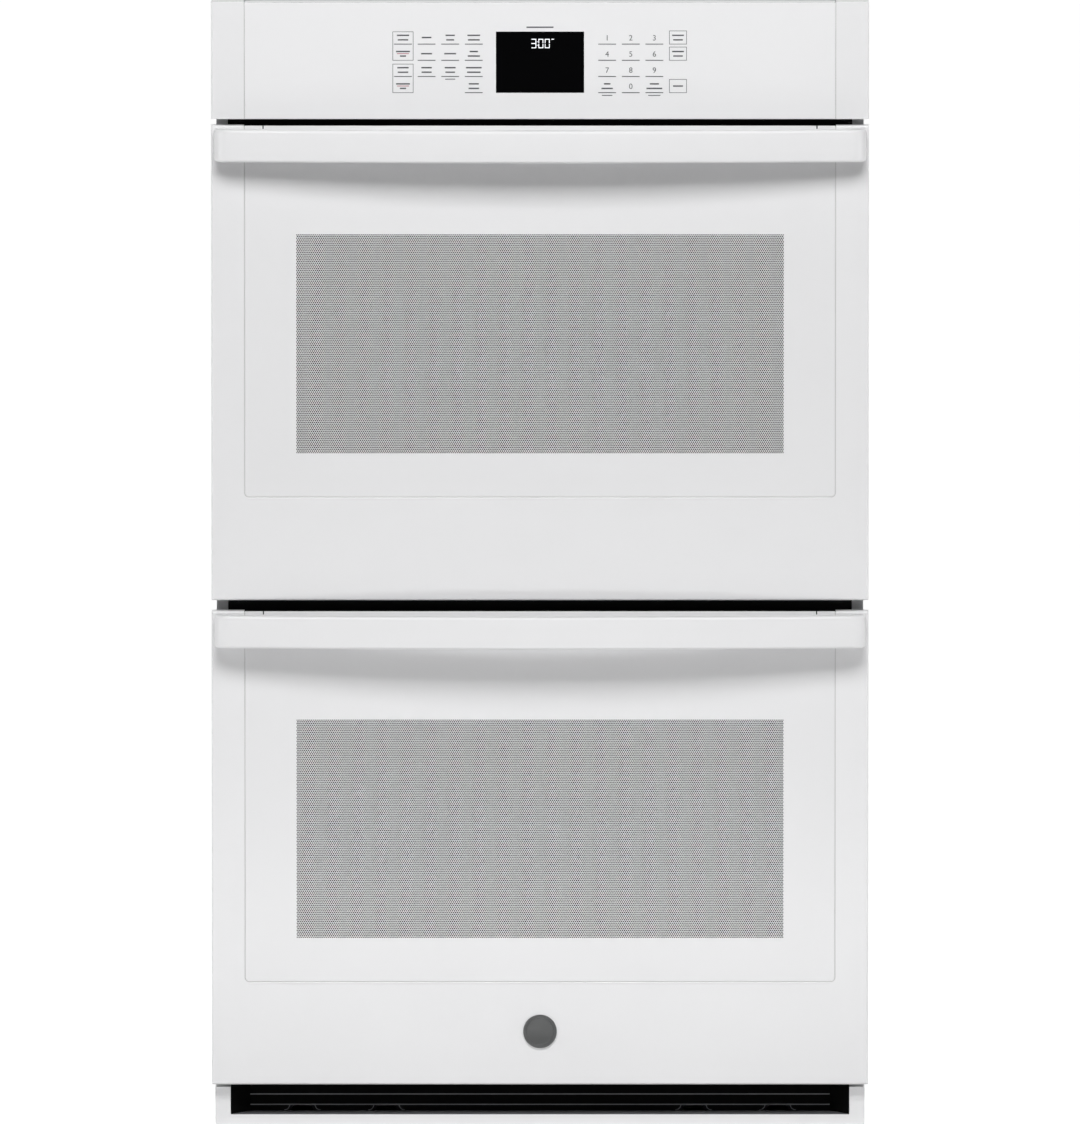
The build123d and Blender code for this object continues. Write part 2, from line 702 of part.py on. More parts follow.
# Door handle: a bowed bar whose ends turn back to the rails
post_x = handle_half - handle_bar / 2
bow_half = post_x - handle_corner * (1 - sin(radians(bow_angle)))
bow_middle = handle_front + handle_bar / 2
bow_end = bow_middle + bow_half * tan(radians(bow_angle / 2))
post_end = bow_end + handle_corner * cos(radians(bow_angle))
with BuildPart() as door_handle:
    with BuildSketch(Plane.XY.offset(handle_z - handle_height / 2)):
        with BuildLine():
            left_post = Line((-post_x, door_face), (-post_x, post_end))
            left_turn = JernArc(left_post @ 1, left_post % 1, handle_corner, 90 - bow_angle)
            bar = ThreePointArc(left_turn @ 1, (0, bow_middle), (bow_half, bow_end))
            right_turn = JernArc(bar @ 1, bar % 1, handle_corner, 90 - bow_angle)
            Line(right_turn @ 1, (post_x, door_face))
        trace(line_width=handle_bar)
    extrude(amount=handle_height)
    for level in (0, -1):
        chamfer(door_handle.edges().group_by(Axis.Z)[level].sort_by(Axis.Y)[0], handle_edge)
    with BuildSketch(front_plane(door_face)):
        with Locations((-post_x, handle_z), (post_x, handle_z)):
            RegularPolygon(bolt_radius + pin_clear, wire_sides)
    extrude(amount=bolt_depth, mode=Mode.SUBTRACT)
save_pair(door_handle, "door_handle")

# Handle bolts, put in from inside the door
with BuildPart() as handle_bolts:
    with BuildSketch(front_plane(door_face + skin_sheet)):
        with Locations((-post_x, handle_z), (post_x, handle_z)):
            RegularPolygon(bolt_radius, wire_sides)
    extrude(amount=bolt_depth)
    with BuildSketch(front_plane(door_face + skin_sheet)):
        with Locations((-post_x, handle_z), (post_x, handle_z)):
            RegularPolygon(bolt_head, wire_sides)
    extrude(amount=-bolt_head_height)
save_pair(handle_bolts, "door_handle_bolts")

# Black strip along the door's top, with vent slots, between the glass and the inner panel
strip_top = door_top - cap_drop
strip_back = door_back - pan_depth
glass_rear = door_face + glass_sheet
with BuildPart() as top_strip:
    slab((-rail_inner + lip_width, rail_inner - lip_width), (glass_rear, strip_back),
         (strip_top - skin_sheet, strip_top))
    slab((-rail_inner + lip_width, rail_inner - lip_width), (glass_rear, glass_rear + skin_sheet),
         (strip_top - cap_flange, strip_top))
    with BuildSketch(Plane.XY.offset(strip_top)):
        with Locations((0, (glass_rear + skin_sheet + strip_back) / 2)):
            with GridLocations(1.25 * cap_slot_length, 0, cap_slots, 1):
                Rectangle(cap_slot_length, cap_slot_width)
    extrude(amount=-skin_sheet, mode=Mode.SUBTRACT)
save_pair(top_strip, "door_top_strip")

# Inner panel: an enamelled pan with a raised middle, hinge notches and the lock's slot
pan_z = door_lift + pan_foot
pan_middle = (pan_z + pan_top) / 2
plug_width = cavity_width - 2 * plug_margin
plug_height = cavity_height - 2 * plug_margin
inner_width = window_width - 2 * inner_window_inset
inner_height = window_height - 2 * inner_window_inset
channel_half = arm_sheet / 2 + arm_clear + hinge_sheet
with BuildPart() as inner_panel:
    with BuildSketch(front_plane(door_back)):
        with Locations((0, pan_middle)):
            Rectangle(2 * pan_half, pan_top - pan_z)
    extrude(amount=pan_depth)
    with BuildSketch(front_plane(door_back)) as plug:
        with Locations((0, cavity_middle)):
            Rectangle(plug_width, plug_height)
        chamfer(plug.vertices(), plug_corner)
    extrude(amount=-plug_rise, taper=plug_draft)
    slab((-pan_half + liner_sheet, pan_half - liner_sheet), (strip_back, door_back - liner_sheet),
         (pan_z + liner_sheet, pan_top - liner_sheet), mode=Mode.SUBTRACT)
    with BuildSketch(front_plane(door_back - liner_sheet)) as hollow_plug:
        with Locations((0, cavity_middle)):
            Rectangle(plug_width - 2 * liner_sheet, plug_height - 2 * liner_sheet)
        chamfer(hollow_plug.vertices(), plug_corner)
    extrude(amount=-plug_rise, taper=plug_draft, mode=Mode.SUBTRACT)
    with BuildSketch(front_plane(door_back)):
        with Locations((0, window_middle)):
            Rectangle(inner_width, inner_height)
    extrude(amount=-plug_rise, mode=Mode.SUBTRACT)
    with BuildSketch(front_plane(strip_back)):
        with Locations((hook_length / 2, lock_z)):
            Rectangle(lock_slot_width, lock_slot_height)
        with Locations((-hinge_x, pivot_z), (hinge_x, pivot_z)):
            Rectangle(2 * (channel_half + fit_gap), 2 * slot_half)
    extrude(amount=-pan_depth, mode=Mode.SUBTRACT)
save_pair(inner_panel, "door_inner_panel")

# Inner window glass, behind the opening of the inner panel
with BuildPart() as inner_glass:
    with BuildSketch(front_plane(door_back + plug_rise - liner_sheet)):
        with Locations((0, window_middle)):
            Rectangle(inner_width + 2 * inner_glass_lap, inner_height + 2 * inner_glass_lap)
    extrude(amount=glass_sheet)
save_pair(inner_glass, "door_inner_glass")

# Hinge channels in the door, each with its pin
channel_front = door_face + hinge_front
channel_back = door_back - liner_sheet
channel_foot = pivot_z - 2 * pin_radius
with BuildPart() as door_hinges:
    for side in (-1, 1):
        middle = side * hinge_x
        slab((middle - channel_half, middle + channel_half), (channel_front, channel_back),
             (channel_foot, channel_foot + hinge_height))
        slab((middle - arm_sheet / 2 - arm_clear, middle + arm_sheet / 2 + arm_clear),
             (channel_front + hinge_sheet, channel_back), (channel_foot, channel_foot + hinge_height),
             mode=Mode.SUBTRACT)
        with BuildSketch(Plane.YZ.offset(middle - channel_half)):
            with Locations((pivot_y, pivot_z)):
                Circle(pin_radius)
        extrude(amount=2 * channel_half)
save_pair(door_hinges, "door_hinges")

# Hinge arms, fixed in the frame, and the receivers that they hook into
arm_end = pivot_y + arm_length
with BuildPart() as hinge_arm:
    for side in (-1, 1):
        with BuildSketch(Plane.YZ.offset(side * hinge_x - arm_sheet / 2)):
            with Locations(((pivot_y + arm_end) / 2, pivot_z)):
                Rectangle(arm_length, 2 * arm_half)
            with Locations((pivot_y, pivot_z)):
                RegularPolygon(arm_half, round_sides, major_radius=False, rotation=180 / round_sides)
                Circle(pin_radius + pin_clear, mode=Mode.SUBTRACT)
            with Locations((frame_back + receiver_wall + arm_half, pivot_z - arm_half)):
                Rectangle(arm_half, arm_half, mode=Mode.SUBTRACT)
        extrude(amount=arm_sheet)
save_both(hinge_arm, "hinge_arms")
with BuildPart() as receiver:
    for side in (-1, 1):
        middle = side * hinge_x
        inner = arm_sheet / 2 + fit_gap
        slab((middle - inner - receiver_wall, middle + inner + receiver_wall),
             (frame_back, arm_end + fit_gap + receiver_wall),
             (pivot_z - arm_half - fit_gap - receiver_wall, pivot_z + arm_half + fit_gap + receiver_wall))
        slab((middle - inner, middle + inner), (frame_back, arm_end + fit_gap),
             (pivot_z - arm_half - fit_gap, pivot_z + arm_half + fit_gap), mode=Mode.SUBTRACT)
save_both(receiver, "hinge_receivers")

# Door lock: a motor on a bracket behind the frame, and the hook on its shaft
hook_y = frame_back + hook_pivot_back
hook_top = lock_z + hook_sheet / 2
with BuildPart() as lock_motor:
    slab((-lock_motor_size / 2, lock_motor_size / 2), (frame_back, hook_y + lock_motor_size / 2),
         (hook_top + fit_gap, hook_top + fit_gap + lock_plate))
    slab((-lock_motor_size / 2, lock_motor_size / 2), (frame_back, frame_back + lock_plate),
         (hook_top + fit_gap, hook_top + lock_motor_height))
    with BuildSketch(Plane.XY.offset(hook_top + fit_gap + lock_plate)):
        with Locations((0, hook_y + hook_width / 2)):
            Rectangle(lock_motor_size * 3 / 4, lock_motor_size / 2)
    extrude(amount=lock_motor_height)
    with BuildSketch(Plane.XY.offset(hook_top + fit_gap)):
        with Locations((0, hook_y)):
            Circle(lock_shaft)
    extrude(amount=-hook_sheet - 2 * fit_gap)
    with BuildSketch(Plane.XY.offset(hook_top - hook_sheet - fit_gap)):
        with Locations((0, hook_y)):
            RegularPolygon(2 * lock_shaft, round_sides)
    extrude(amount=-lock_plate)
save_both(lock_motor, "lock_motors")
with BuildPart() as lock_hook:
    with BuildSketch(Plane.XY.offset(hook_top - hook_sheet)):
        with Locations((hook_length / 2, hook_y)):
            Rectangle(hook_length, hook_width)
        with Locations((0, hook_y)):
            RegularPolygon(hook_width * 3 / 4, round_sides)
        with Locations((hook_length - hook_width / 4, hook_y + hook_width / 2)):
            Rectangle(hook_width / 2, 2 * hook_barb)
        with Locations((hook_length - hook_width / 2, hook_y - hook_width / 2)):
            Rectangle(2 * hook_width, hook_width, mode=Mode.SUBTRACT)
        with Locations((0, hook_y)):
            Circle(lock_shaft + pin_clear, mode=Mode.SUBTRACT)
    extrude(amount=hook_sheet)
save_pair(lock_hook, "latch_hook")

# Control panel: glass, end caps, tray and board with the display
tray_front = door_face + glass_sheet
panel_middle = (panel_foot + panel_top) / 2
display_z = panel_foot + display_rise + display_height / 2
with BuildPart() as panel_glass:
    with BuildSketch(front_plane(door_face)):
        with Locations((0, panel_middle)):
            Rectangle(2 * glass_half, panel_height)
    extrude(amount=-glass_sheet)
    chamfer(panel_glass.faces().sort_by(Axis.Y)[0].edges(), glass_bevel)
save(panel_glass, "control_panel_glass")
with BuildPart() as panel_tray:
    slab((-glass_half, glass_half), (tray_front, frame_front), (panel_foot, panel_top))
    offset(amount=-tray_sheet, openings=panel_tray.faces().sort_by(Axis.Y)[-1])
    with BuildSketch(front_plane(tray_front)):
        with Locations((0, display_z)):
            Rectangle(display_width, display_height)
    extrude(amount=-tray_sheet, mode=Mode.SUBTRACT)
save(panel_tray, "control_panel_tray")
with BuildPart() as panel_cap:
    with BuildSketch(front_plane(door_face)):
        with Locations(((rail_inner + front_half) / 2, (panel_foot + overall_height) / 2)):
            Rectangle(front_half - rail_inner, overall_height - panel_foot)
    extrude(amount=door_face - frame_front)
    fillet(panel_cap.faces().sort_by(Axis.X)[-1].edges().sort_by(Axis.Y)[0], cap_edge)
    offset(amount=-cap_wall, openings=panel_cap.faces().sort_by(Axis.Y)[-1])
save(panel_cap, "control_panel_cap_right")
save(mirrored(panel_cap), "control_panel_cap_left")
board_y = tray_front + tray_sheet + board_standoff
with BuildPart() as control_board:
    slab((-board_width / 2, board_width / 2), (board_y, board_y + board_sheet),
         (panel_middle - board_height / 2, panel_middle + board_height / 2))
    slab((-display_width / 2 + fit_gap, display_width / 2 - fit_gap), (tray_front, board_y),
         (display_z - display_height / 2 + fit_gap, display_z + display_height / 2 - fit_gap))
    with BuildSketch(front_plane(board_y)):
        with Locations((0, panel_middle)):
            with GridLocations(board_width - 4 * standoff_radius, board_height - 4 * standoff_radius, 2, 2):
                RegularPolygon(standoff_radius, wire_sides)
    extrude(amount=board_standoff)
save(control_board, "control_board")

# Cooling blower: floor of the control bay with its scroll, cross-flow wheel and motor
scroll_radius = wheel_radius + scroll_clear
axis_z = bay_floor + case_sheet + scroll_radius
blower_half = wheel_length / 2 + scroll_clear
motor_near = blower_half + 2 * scroll_sheet
with BuildPart() as blower_housing:
    slab((-pan_x, pan_x), (frame_back, case_inside), (bay_floor, bay_floor + case_sheet))
    with BuildSketch(Plane.YZ.offset(-blower_half)):
        with Locations((blower_place, axis_z)):
            RegularPolygon(scroll_radius + scroll_sheet, drum_sides)
            RegularPolygon(scroll_radius, drum_sides, mode=Mode.SUBTRACT)
        with Locations((blower_place - scroll_radius, axis_z)):
            Rectangle(2 * scroll_radius, scroll_radius, mode=Mode.SUBTRACT)
    extrude(amount=2 * blower_half)
    for side in (-1, 1):
        with BuildSketch(Plane.YZ.offset(side * blower_half)):
            with Locations((blower_place, axis_z)):
                Rectangle(2 * scroll_radius, 2 * scroll_radius)
        extrude(amount=side * 2 * scroll_sheet)
    with BuildSketch(Plane.YZ.offset(-motor_near)):
        with Locations((blower_place, axis_z)):
            RegularPolygon(wheel_shaft + shaft_clear, round_sides, major_radius=False)
    extrude(amount=2 * motor_near, mode=Mode.SUBTRACT)
save(blower_housing, "blower_housing")
with BuildPart() as blower_motor:
    with BuildSketch(Plane.YZ.offset(motor_near)):
        with Locations((blower_place, axis_z)):
            RegularPolygon(motor_radius, drum_sides)
    extrude(amount=motor_length)
    with BuildSketch(Plane.YZ.offset(motor_near)):
        with Locations((blower_place, axis_z)):
            Circle(wheel_shaft + shaft_clear)
    extrude(amount=motor_length / 2, mode=Mode.SUBTRACT)
save(blower_motor, "blower_motor")
shaft_near = motor_near + motor_length / 2 - scroll_clear
with BuildPart() as blower_wheel:
    with BuildSketch(Plane.YZ.offset(-wheel_length / 2)):
        with Locations((blower_place, axis_z)):
            with PolarLocations((wheel_radius + wheel_bore) / 2 - 2 * blade_sheet, wheel_blades):
                Rectangle(wheel_radius - wheel_bore, blade_sheet, rotation=30)
    extrude(amount=wheel_length)
    for place in (-wheel_length / 2, wheel_length / 2 - wheel_disc):
        with BuildSketch(Plane.YZ.offset(place)):
            with Locations((blower_place, axis_z)):
                RegularPolygon(wheel_radius, drum_sides)
        extrude(amount=wheel_disc)
    with BuildSketch(Plane.YZ.offset(-motor_near)):
        with Locations((blower_place, axis_z)):
            RegularPolygon(wheel_shaft, round_sides)
    extrude(amount=motor_near - wheel_length / 2)
    with BuildSketch(Plane.YZ.offset(wheel_length / 2)):
        with Locations((blower_place, axis_z)):
            Circle(wheel_shaft)
    extrude(amount=shaft_near - wheel_length / 2)
save(blower_wheel, "blower_wheel")

# Mains junction box inside the back, with the conduit's hub through the back sheet
with BuildPart() as junction_box:
    slab((box_place - box_width / 2, box_place + box_width / 2), (case_inside - box_depth, case_inside),
         (box_z - box_height / 2, box_z + box_height / 2))
    offset(amount=-box_sheet, openings=junction_box.faces().sort_by(Axis.Y)[0])
    with BuildSketch(front_plane(back)):
        with Locations((box_place, box_z)):
            RegularPolygon(conduit_radius + conduit_wall, round_sides)
    extrude(amount=conduit_length)
    with BuildSketch(front_plane(back)):
        with Locations((box_place, box_z)):
            Circle(conduit_radius)
    extrude(amount=conduit_length, mode=Mode.SUBTRACT)
save(junction_box, "junction_box")
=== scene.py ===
import json
from math import cos, pi, radians, sin, tan

import bpy
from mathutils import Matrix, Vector

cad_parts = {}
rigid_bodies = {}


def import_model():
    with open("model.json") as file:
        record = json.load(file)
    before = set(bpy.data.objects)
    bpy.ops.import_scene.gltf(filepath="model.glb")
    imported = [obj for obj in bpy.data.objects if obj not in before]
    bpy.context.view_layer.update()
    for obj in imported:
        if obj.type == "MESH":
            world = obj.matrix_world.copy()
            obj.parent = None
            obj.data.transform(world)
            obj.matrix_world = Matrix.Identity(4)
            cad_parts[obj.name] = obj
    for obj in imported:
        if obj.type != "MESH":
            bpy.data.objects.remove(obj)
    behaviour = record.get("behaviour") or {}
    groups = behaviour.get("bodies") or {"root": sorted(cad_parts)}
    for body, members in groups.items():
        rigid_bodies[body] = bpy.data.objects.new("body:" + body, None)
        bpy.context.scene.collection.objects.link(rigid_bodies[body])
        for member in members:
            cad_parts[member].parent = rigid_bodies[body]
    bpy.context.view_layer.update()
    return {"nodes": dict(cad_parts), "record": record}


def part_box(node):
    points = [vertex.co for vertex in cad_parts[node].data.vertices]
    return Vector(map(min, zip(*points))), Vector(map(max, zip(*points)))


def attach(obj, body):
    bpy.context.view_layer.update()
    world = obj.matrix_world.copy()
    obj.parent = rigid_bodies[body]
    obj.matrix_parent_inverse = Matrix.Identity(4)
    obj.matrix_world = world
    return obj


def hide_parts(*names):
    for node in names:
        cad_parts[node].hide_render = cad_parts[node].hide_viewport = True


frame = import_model()
bpy.ops.object.select_all(action="DESELECT")

# Sizes and places that several pieces share, in metres and radians
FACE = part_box("lower_door_glass")[0].y      # front of the doors and of the control panel
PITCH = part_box("upper_door_glass")[0].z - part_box("lower_door_glass")[0].z
WINDOW_HALF = (0.280, 0.126)
WINDOW_MIDDLE = 0.34485    # of the lower door
PRINT = 0.0001             # thickness of printed marks
CREASE = radians(50)       # a sharper corner than this is rounded off
SMOOTH = radians(30)       # a flatter corner than this is shaded as a curve
CLOUD = 0.08               # spacing of the slow unevenness in a coated surface
X, Y, Z = (Vector(way) for way in ((1, 0, 0), (0, 1, 0), (0, 0, 1)))
OVENS = (("lower", 0), ("upper", PITCH))


def linear(code):
    """An sRGB hex colour as linear values with full alpha."""
    parts = [int(code[i:i + 2], 16) / 255 for i in (0, 2, 4)]
    return [p / 12.92 if p <= 0.04045 else ((p + 0.055) / 1.055) ** 2.4 for p in parts] + [1.0]


def add(tree, kind, inputs=(), **settings):
    """A new node with its settings; an input that is given a socket is linked to it."""
    node = tree.nodes.new(kind)
    for name, value in settings.items():
        setattr(node, name, value)
    for name, value in dict(inputs).items():
        if isinstance(value, bpy.types.NodeSocket):
            tree.links.new(value, node.inputs[name])
        else:
            node.inputs[name].default_value = value
    return node


def new_finish(name, **values):
    """A material with its own shader, whose constant values are set on its sockets."""
    material = bpy.data.materials.new(name)
    material.use_nodes = True
    shader = material.node_tree.nodes["Principled BSDF"]
    for key, value in values.items():
        shader.inputs[key.replace("_", " ")].default_value = value
    place = add(material.node_tree, "ShaderNodeTexCoord").outputs["Object"]
    return material, material.node_tree, shader, place


def coated(name, colour, shade, rough, grain, height, **values):
    """A painted, fired or moulded surface: slight unevenness of colour and gloss, and a fine skin.

    colour and shade are the two ends of its colour, rough the two ends of its roughness,
    grain the skin's spacing in metres and height the depth of its waves."""
    material, tree, shader, place = new_finish(name, **values)
    cloud = add(tree, "ShaderNodeTexNoise", {"Vector": place, "Scale": 1 / CLOUD, "Detail": 3.0})
    tint = add(tree, "ShaderNodeMix", {0: cloud.outputs["Fac"], 6: linear(colour), 7: linear(shade)},
               data_type="RGBA")
    tree.links.new(tint.outputs[2], shader.inputs["Base Color"])
    gloss = add(tree, "ShaderNodeMapRange", {"Value": cloud.outputs["Fac"], 3: rough[0], 4: rough[1]})
    tree.links.new(gloss.outputs[0], shader.inputs["Roughness"])
    skin = add(tree, "ShaderNodeTexNoise", {"Vector": place, "Scale": 1 / grain, "Detail": 2.0})
    bump = add(tree, "ShaderNodeBump",
               {"Height": skin.outputs["Fac"], "Distance": height, "Strength": 0.5})
    tree.links.new(bump.outputs[0], shader.inputs["Normal"])
    return material


# White enamel on pressed steel: flowed on and fired, so it is glossy with a faint orange peel
white_enamel = coated("white_enamel", "ECECED", "E9E9EA", (0.26, 0.34), 0.004, 0.00002, Coat_Weight=0.15)
# Moulded white handle: a smoother skin than the enamel, and a little less gloss
white_moulding = coated("white_moulding", "ECECED", "EAEAEB", (0.30, 0.36), 0.004, 0.00001)
# Pale sealant in the seams beside the glass, darker grey than the enamel: partly the sealant's own colour,
# partly painted shade of the narrow gap
white_sealant = coated("white_sealant", "CBCBCA", "C5C5C4", (0.5, 0.6), 0.002, 0.00001)
# Black ground-coat enamel of the front frame, seen only through the gaps
black_enamel = coated("black_enamel", "0A0A0B", "101011", (0.35, 0.45), 0.004, 0.00002,
                      Specular_IOR_Level=0.25)
# Matte black heat paint of the vent baffle, made blacker still as painted shade of the recess under the door,
# so it gives back almost no light
matte_black = coated("matte_black", "050505", "080808", (0.7, 0.85), 0.002, 0.00003,
                     Specular_IOR_Level=0.08)
# Dull grey on the vent's floor sheet, as painted shade over the white rail in the recess under the door,
# and on the baffle's folds, as painted highlight along their edges against the black
worn_steel = coated("worn_steel", "66676A", "58595B", (0.5, 0.6), 0.001, 0.00001)
# Pale grey stove paint on the side trims
grey_paint = coated("grey_paint", "E2E3E4", "DADBDC", (0.42, 0.52), 0.002, 0.00003)
# Black moulded plastic with a fine spark-eroded skin
black_plastic = coated("black_plastic", "0C0C0D", "141415", (0.45, 0.6), 0.0012, 0.00005)
# Unglazed lamp ceramic
socket_ceramic = coated("socket_ceramic", "E6E0D2", "D8D0BE", (0.7, 0.85), 0.0008, 0.00004)
# Circuit laminate under green lacquer
board_laminate = coated("board_laminate", "14502C", "1A5C34", (0.35, 0.5), 0.003, 0.00002)
# Heating tube sheath: alloy that has browned and dulled with heat
element_sheath = coated("element_sheath", "4A4440", "2E2A28", (0.5, 0.7), 0.002, 0.00003, Metallic=0.8)
# Zinc-plated steel of hinges, hooks and bolts
hinge_steel = coated("hinge_steel", "A9ABAE", "8E9094", (0.28, 0.42), 0.0015, 0.00002, Metallic=1.0)
# Nickel-chromium plated rack wire
chrome_wire = coated("chrome_wire", "D9DADC", "C4C5C8", (0.08, 0.16), 0.004, 0.00001, Metallic=1.0)
# Mill-finish aluminium of the blower wheel
blower_aluminium = coated("blower_aluminium", "B9BBBE", "A6A8AB", (0.35, 0.5), 0.001, 0.00002, Metallic=1.0)
# Glass-wool blanket: yellowish loose fibres
glass_wool = coated("glass_wool", "D8C690", "C2AE74", (0.9, 1.0), 0.006, 0.002)
# Satin nickel disc
satin_nickel = coated("satin_nickel", "848585", "787979", (0.32, 0.42), 0.0006, 0.00001, Metallic=0.8)
# Printing ink on the control panel
grey_ink = coated("grey_ink", "5A5B5D", "545557", (0.3, 0.4), 0.001, 0.000001)
red_ink = coated("red_ink", "B4636B", "AC5A62", (0.3, 0.4), 0.001, 0.000001)
# Lit white strokes of the clock
lit_segments = coated("lit_segments", "F4F6F8", "EEF1F4", (0.3, 0.4), 0.001, 0.000001,
                      Emission_Color=linear("F6F8FF"), Emission_Strength=0.6)
# Black display window, glossy as the glass that it is printed behind
black_display = coated("black_display", "020203", "040405", (0.05, 0.09), 0.02, 0.000001,
                       Specular_IOR_Level=0.08)


def galvanised():
    """Hot-dip galvanised sheet: zinc crystals about 8 mm across, each with its own brightness."""
    material, tree, shader, place = new_finish("galvanised_steel", Metallic=1.0)
    crystal = add(tree, "ShaderNodeTexVoronoi", {"Vector": place, "Scale": 1 / 0.008, "Randomness": 1.0})
    bright = add(tree, "ShaderNodeSeparateColor", {"Color": crystal.outputs["Color"]})
    tint = add(tree, "ShaderNodeMix", {0: bright.outputs[0], 6: linear("B0B3B5"), 7: linear("BFC2C4")},
               data_type="RGBA")
    tree.links.new(tint.outputs[2], shader.inputs["Base Color"])
    gloss = add(tree, "ShaderNodeMapRange", {"Value": bright.outputs[1], 3: 0.38, 4: 0.52})
    tree.links.new(gloss.outputs[0], shader.inputs["Roughness"])
    return material


def porcelain():
    """Dark blue-grey porcelain enamel of the oven's inside, with fired-in white specks about 1 mm across."""
    material, tree, shader, place = new_finish("speckled_porcelain", Coat_Weight=0.3)
    speck = add(tree, "ShaderNodeTexVoronoi", {"Vector": place, "Scale": 1 / 0.005, "Randomness": 1.0})
    near = add(tree, "ShaderNodeMapRange",
               {"Value": speck.outputs["Distance"], 1: 0.10, 2: 0.18, 3: 1.0, 4: 0.0})
    tint = add(tree, "ShaderNodeMix", {0: near.outputs[0], 6: linear("2B3038"), 7: linear("A9AFB8")},
               data_type="RGBA")
    tree.links.new(tint.outputs[2], shader.inputs["Base Color"])
    flow = add(tree, "ShaderNodeTexNoise", {"Vector": place, "Scale": 1 / 0.006, "Detail": 2.0})
    gloss = add(tree, "ShaderNodeMapRange", {"Value": flow.outputs["Fac"], 3: 0.16, 4: 0.28})
    tree.links.new(gloss.outputs[0], shader.inputs["Roughness"])
    bump = add(tree, "ShaderNodeBump", {"Height": flow.outputs["Fac"], "Distance": 0.00004, "Strength": 0.5})
    tree.links.new(bump.outputs[0], shader.inputs["Normal"])
    return material


def woven():
    """Door gasket of braided glass fibre: crossing strands about 2 mm wide.

    A wave of scale 1 repeats every 0.314 m, so at this scale it repeats every 4 mm."""
    material, tree, shader, place = new_finish("braided_gasket", Roughness=0.9)
    strands = [add(tree, "ShaderNodeTexWave", {"Vector": place, "Scale": 1 / 0.0126, "Distortion": 0.4},
                   bands_direction=way) for way in ("X", "Z")]
    cross = add(tree, "ShaderNodeMath", {0: strands[0].outputs["Fac"], 1: strands[1].outputs["Fac"]},
                operation="MULTIPLY")
    tint = add(tree, "ShaderNodeMix", {0: cross.outputs[0], 6: linear("3A3A38"), 7: linear("75756F")},
               data_type="RGBA")
    tree.links.new(tint.outputs[2], shader.inputs["Base Color"])
    bump = add(tree, "ShaderNodeBump", {"Height": cross.outputs[0], "Distance": 0.0006})
    tree.links.new(bump.outputs[0], shader.inputs["Normal"])
    return material


def lens_glass():
    """Clear pressed glass of the lamp lens and the inner window, faintly uneven."""
    material, tree, shader, place = new_finish("clear_glass", Transmission_Weight=0.9, IOR=1.5)
    shader.inputs["Base Color"].default_value = linear("C9CFCF")
    wave = add(tree, "ShaderNodeTexNoise", {"Vector": place, "Scale": 1 / 0.03, "Detail": 1.0})
    gloss = add(tree, "ShaderNodeMapRange", {"Value": wave.outputs["Fac"], 3: 0.02, 4: 0.06})
    tree.links.new(gloss.outputs[0], shader.inputs["Roughness"])
    return material


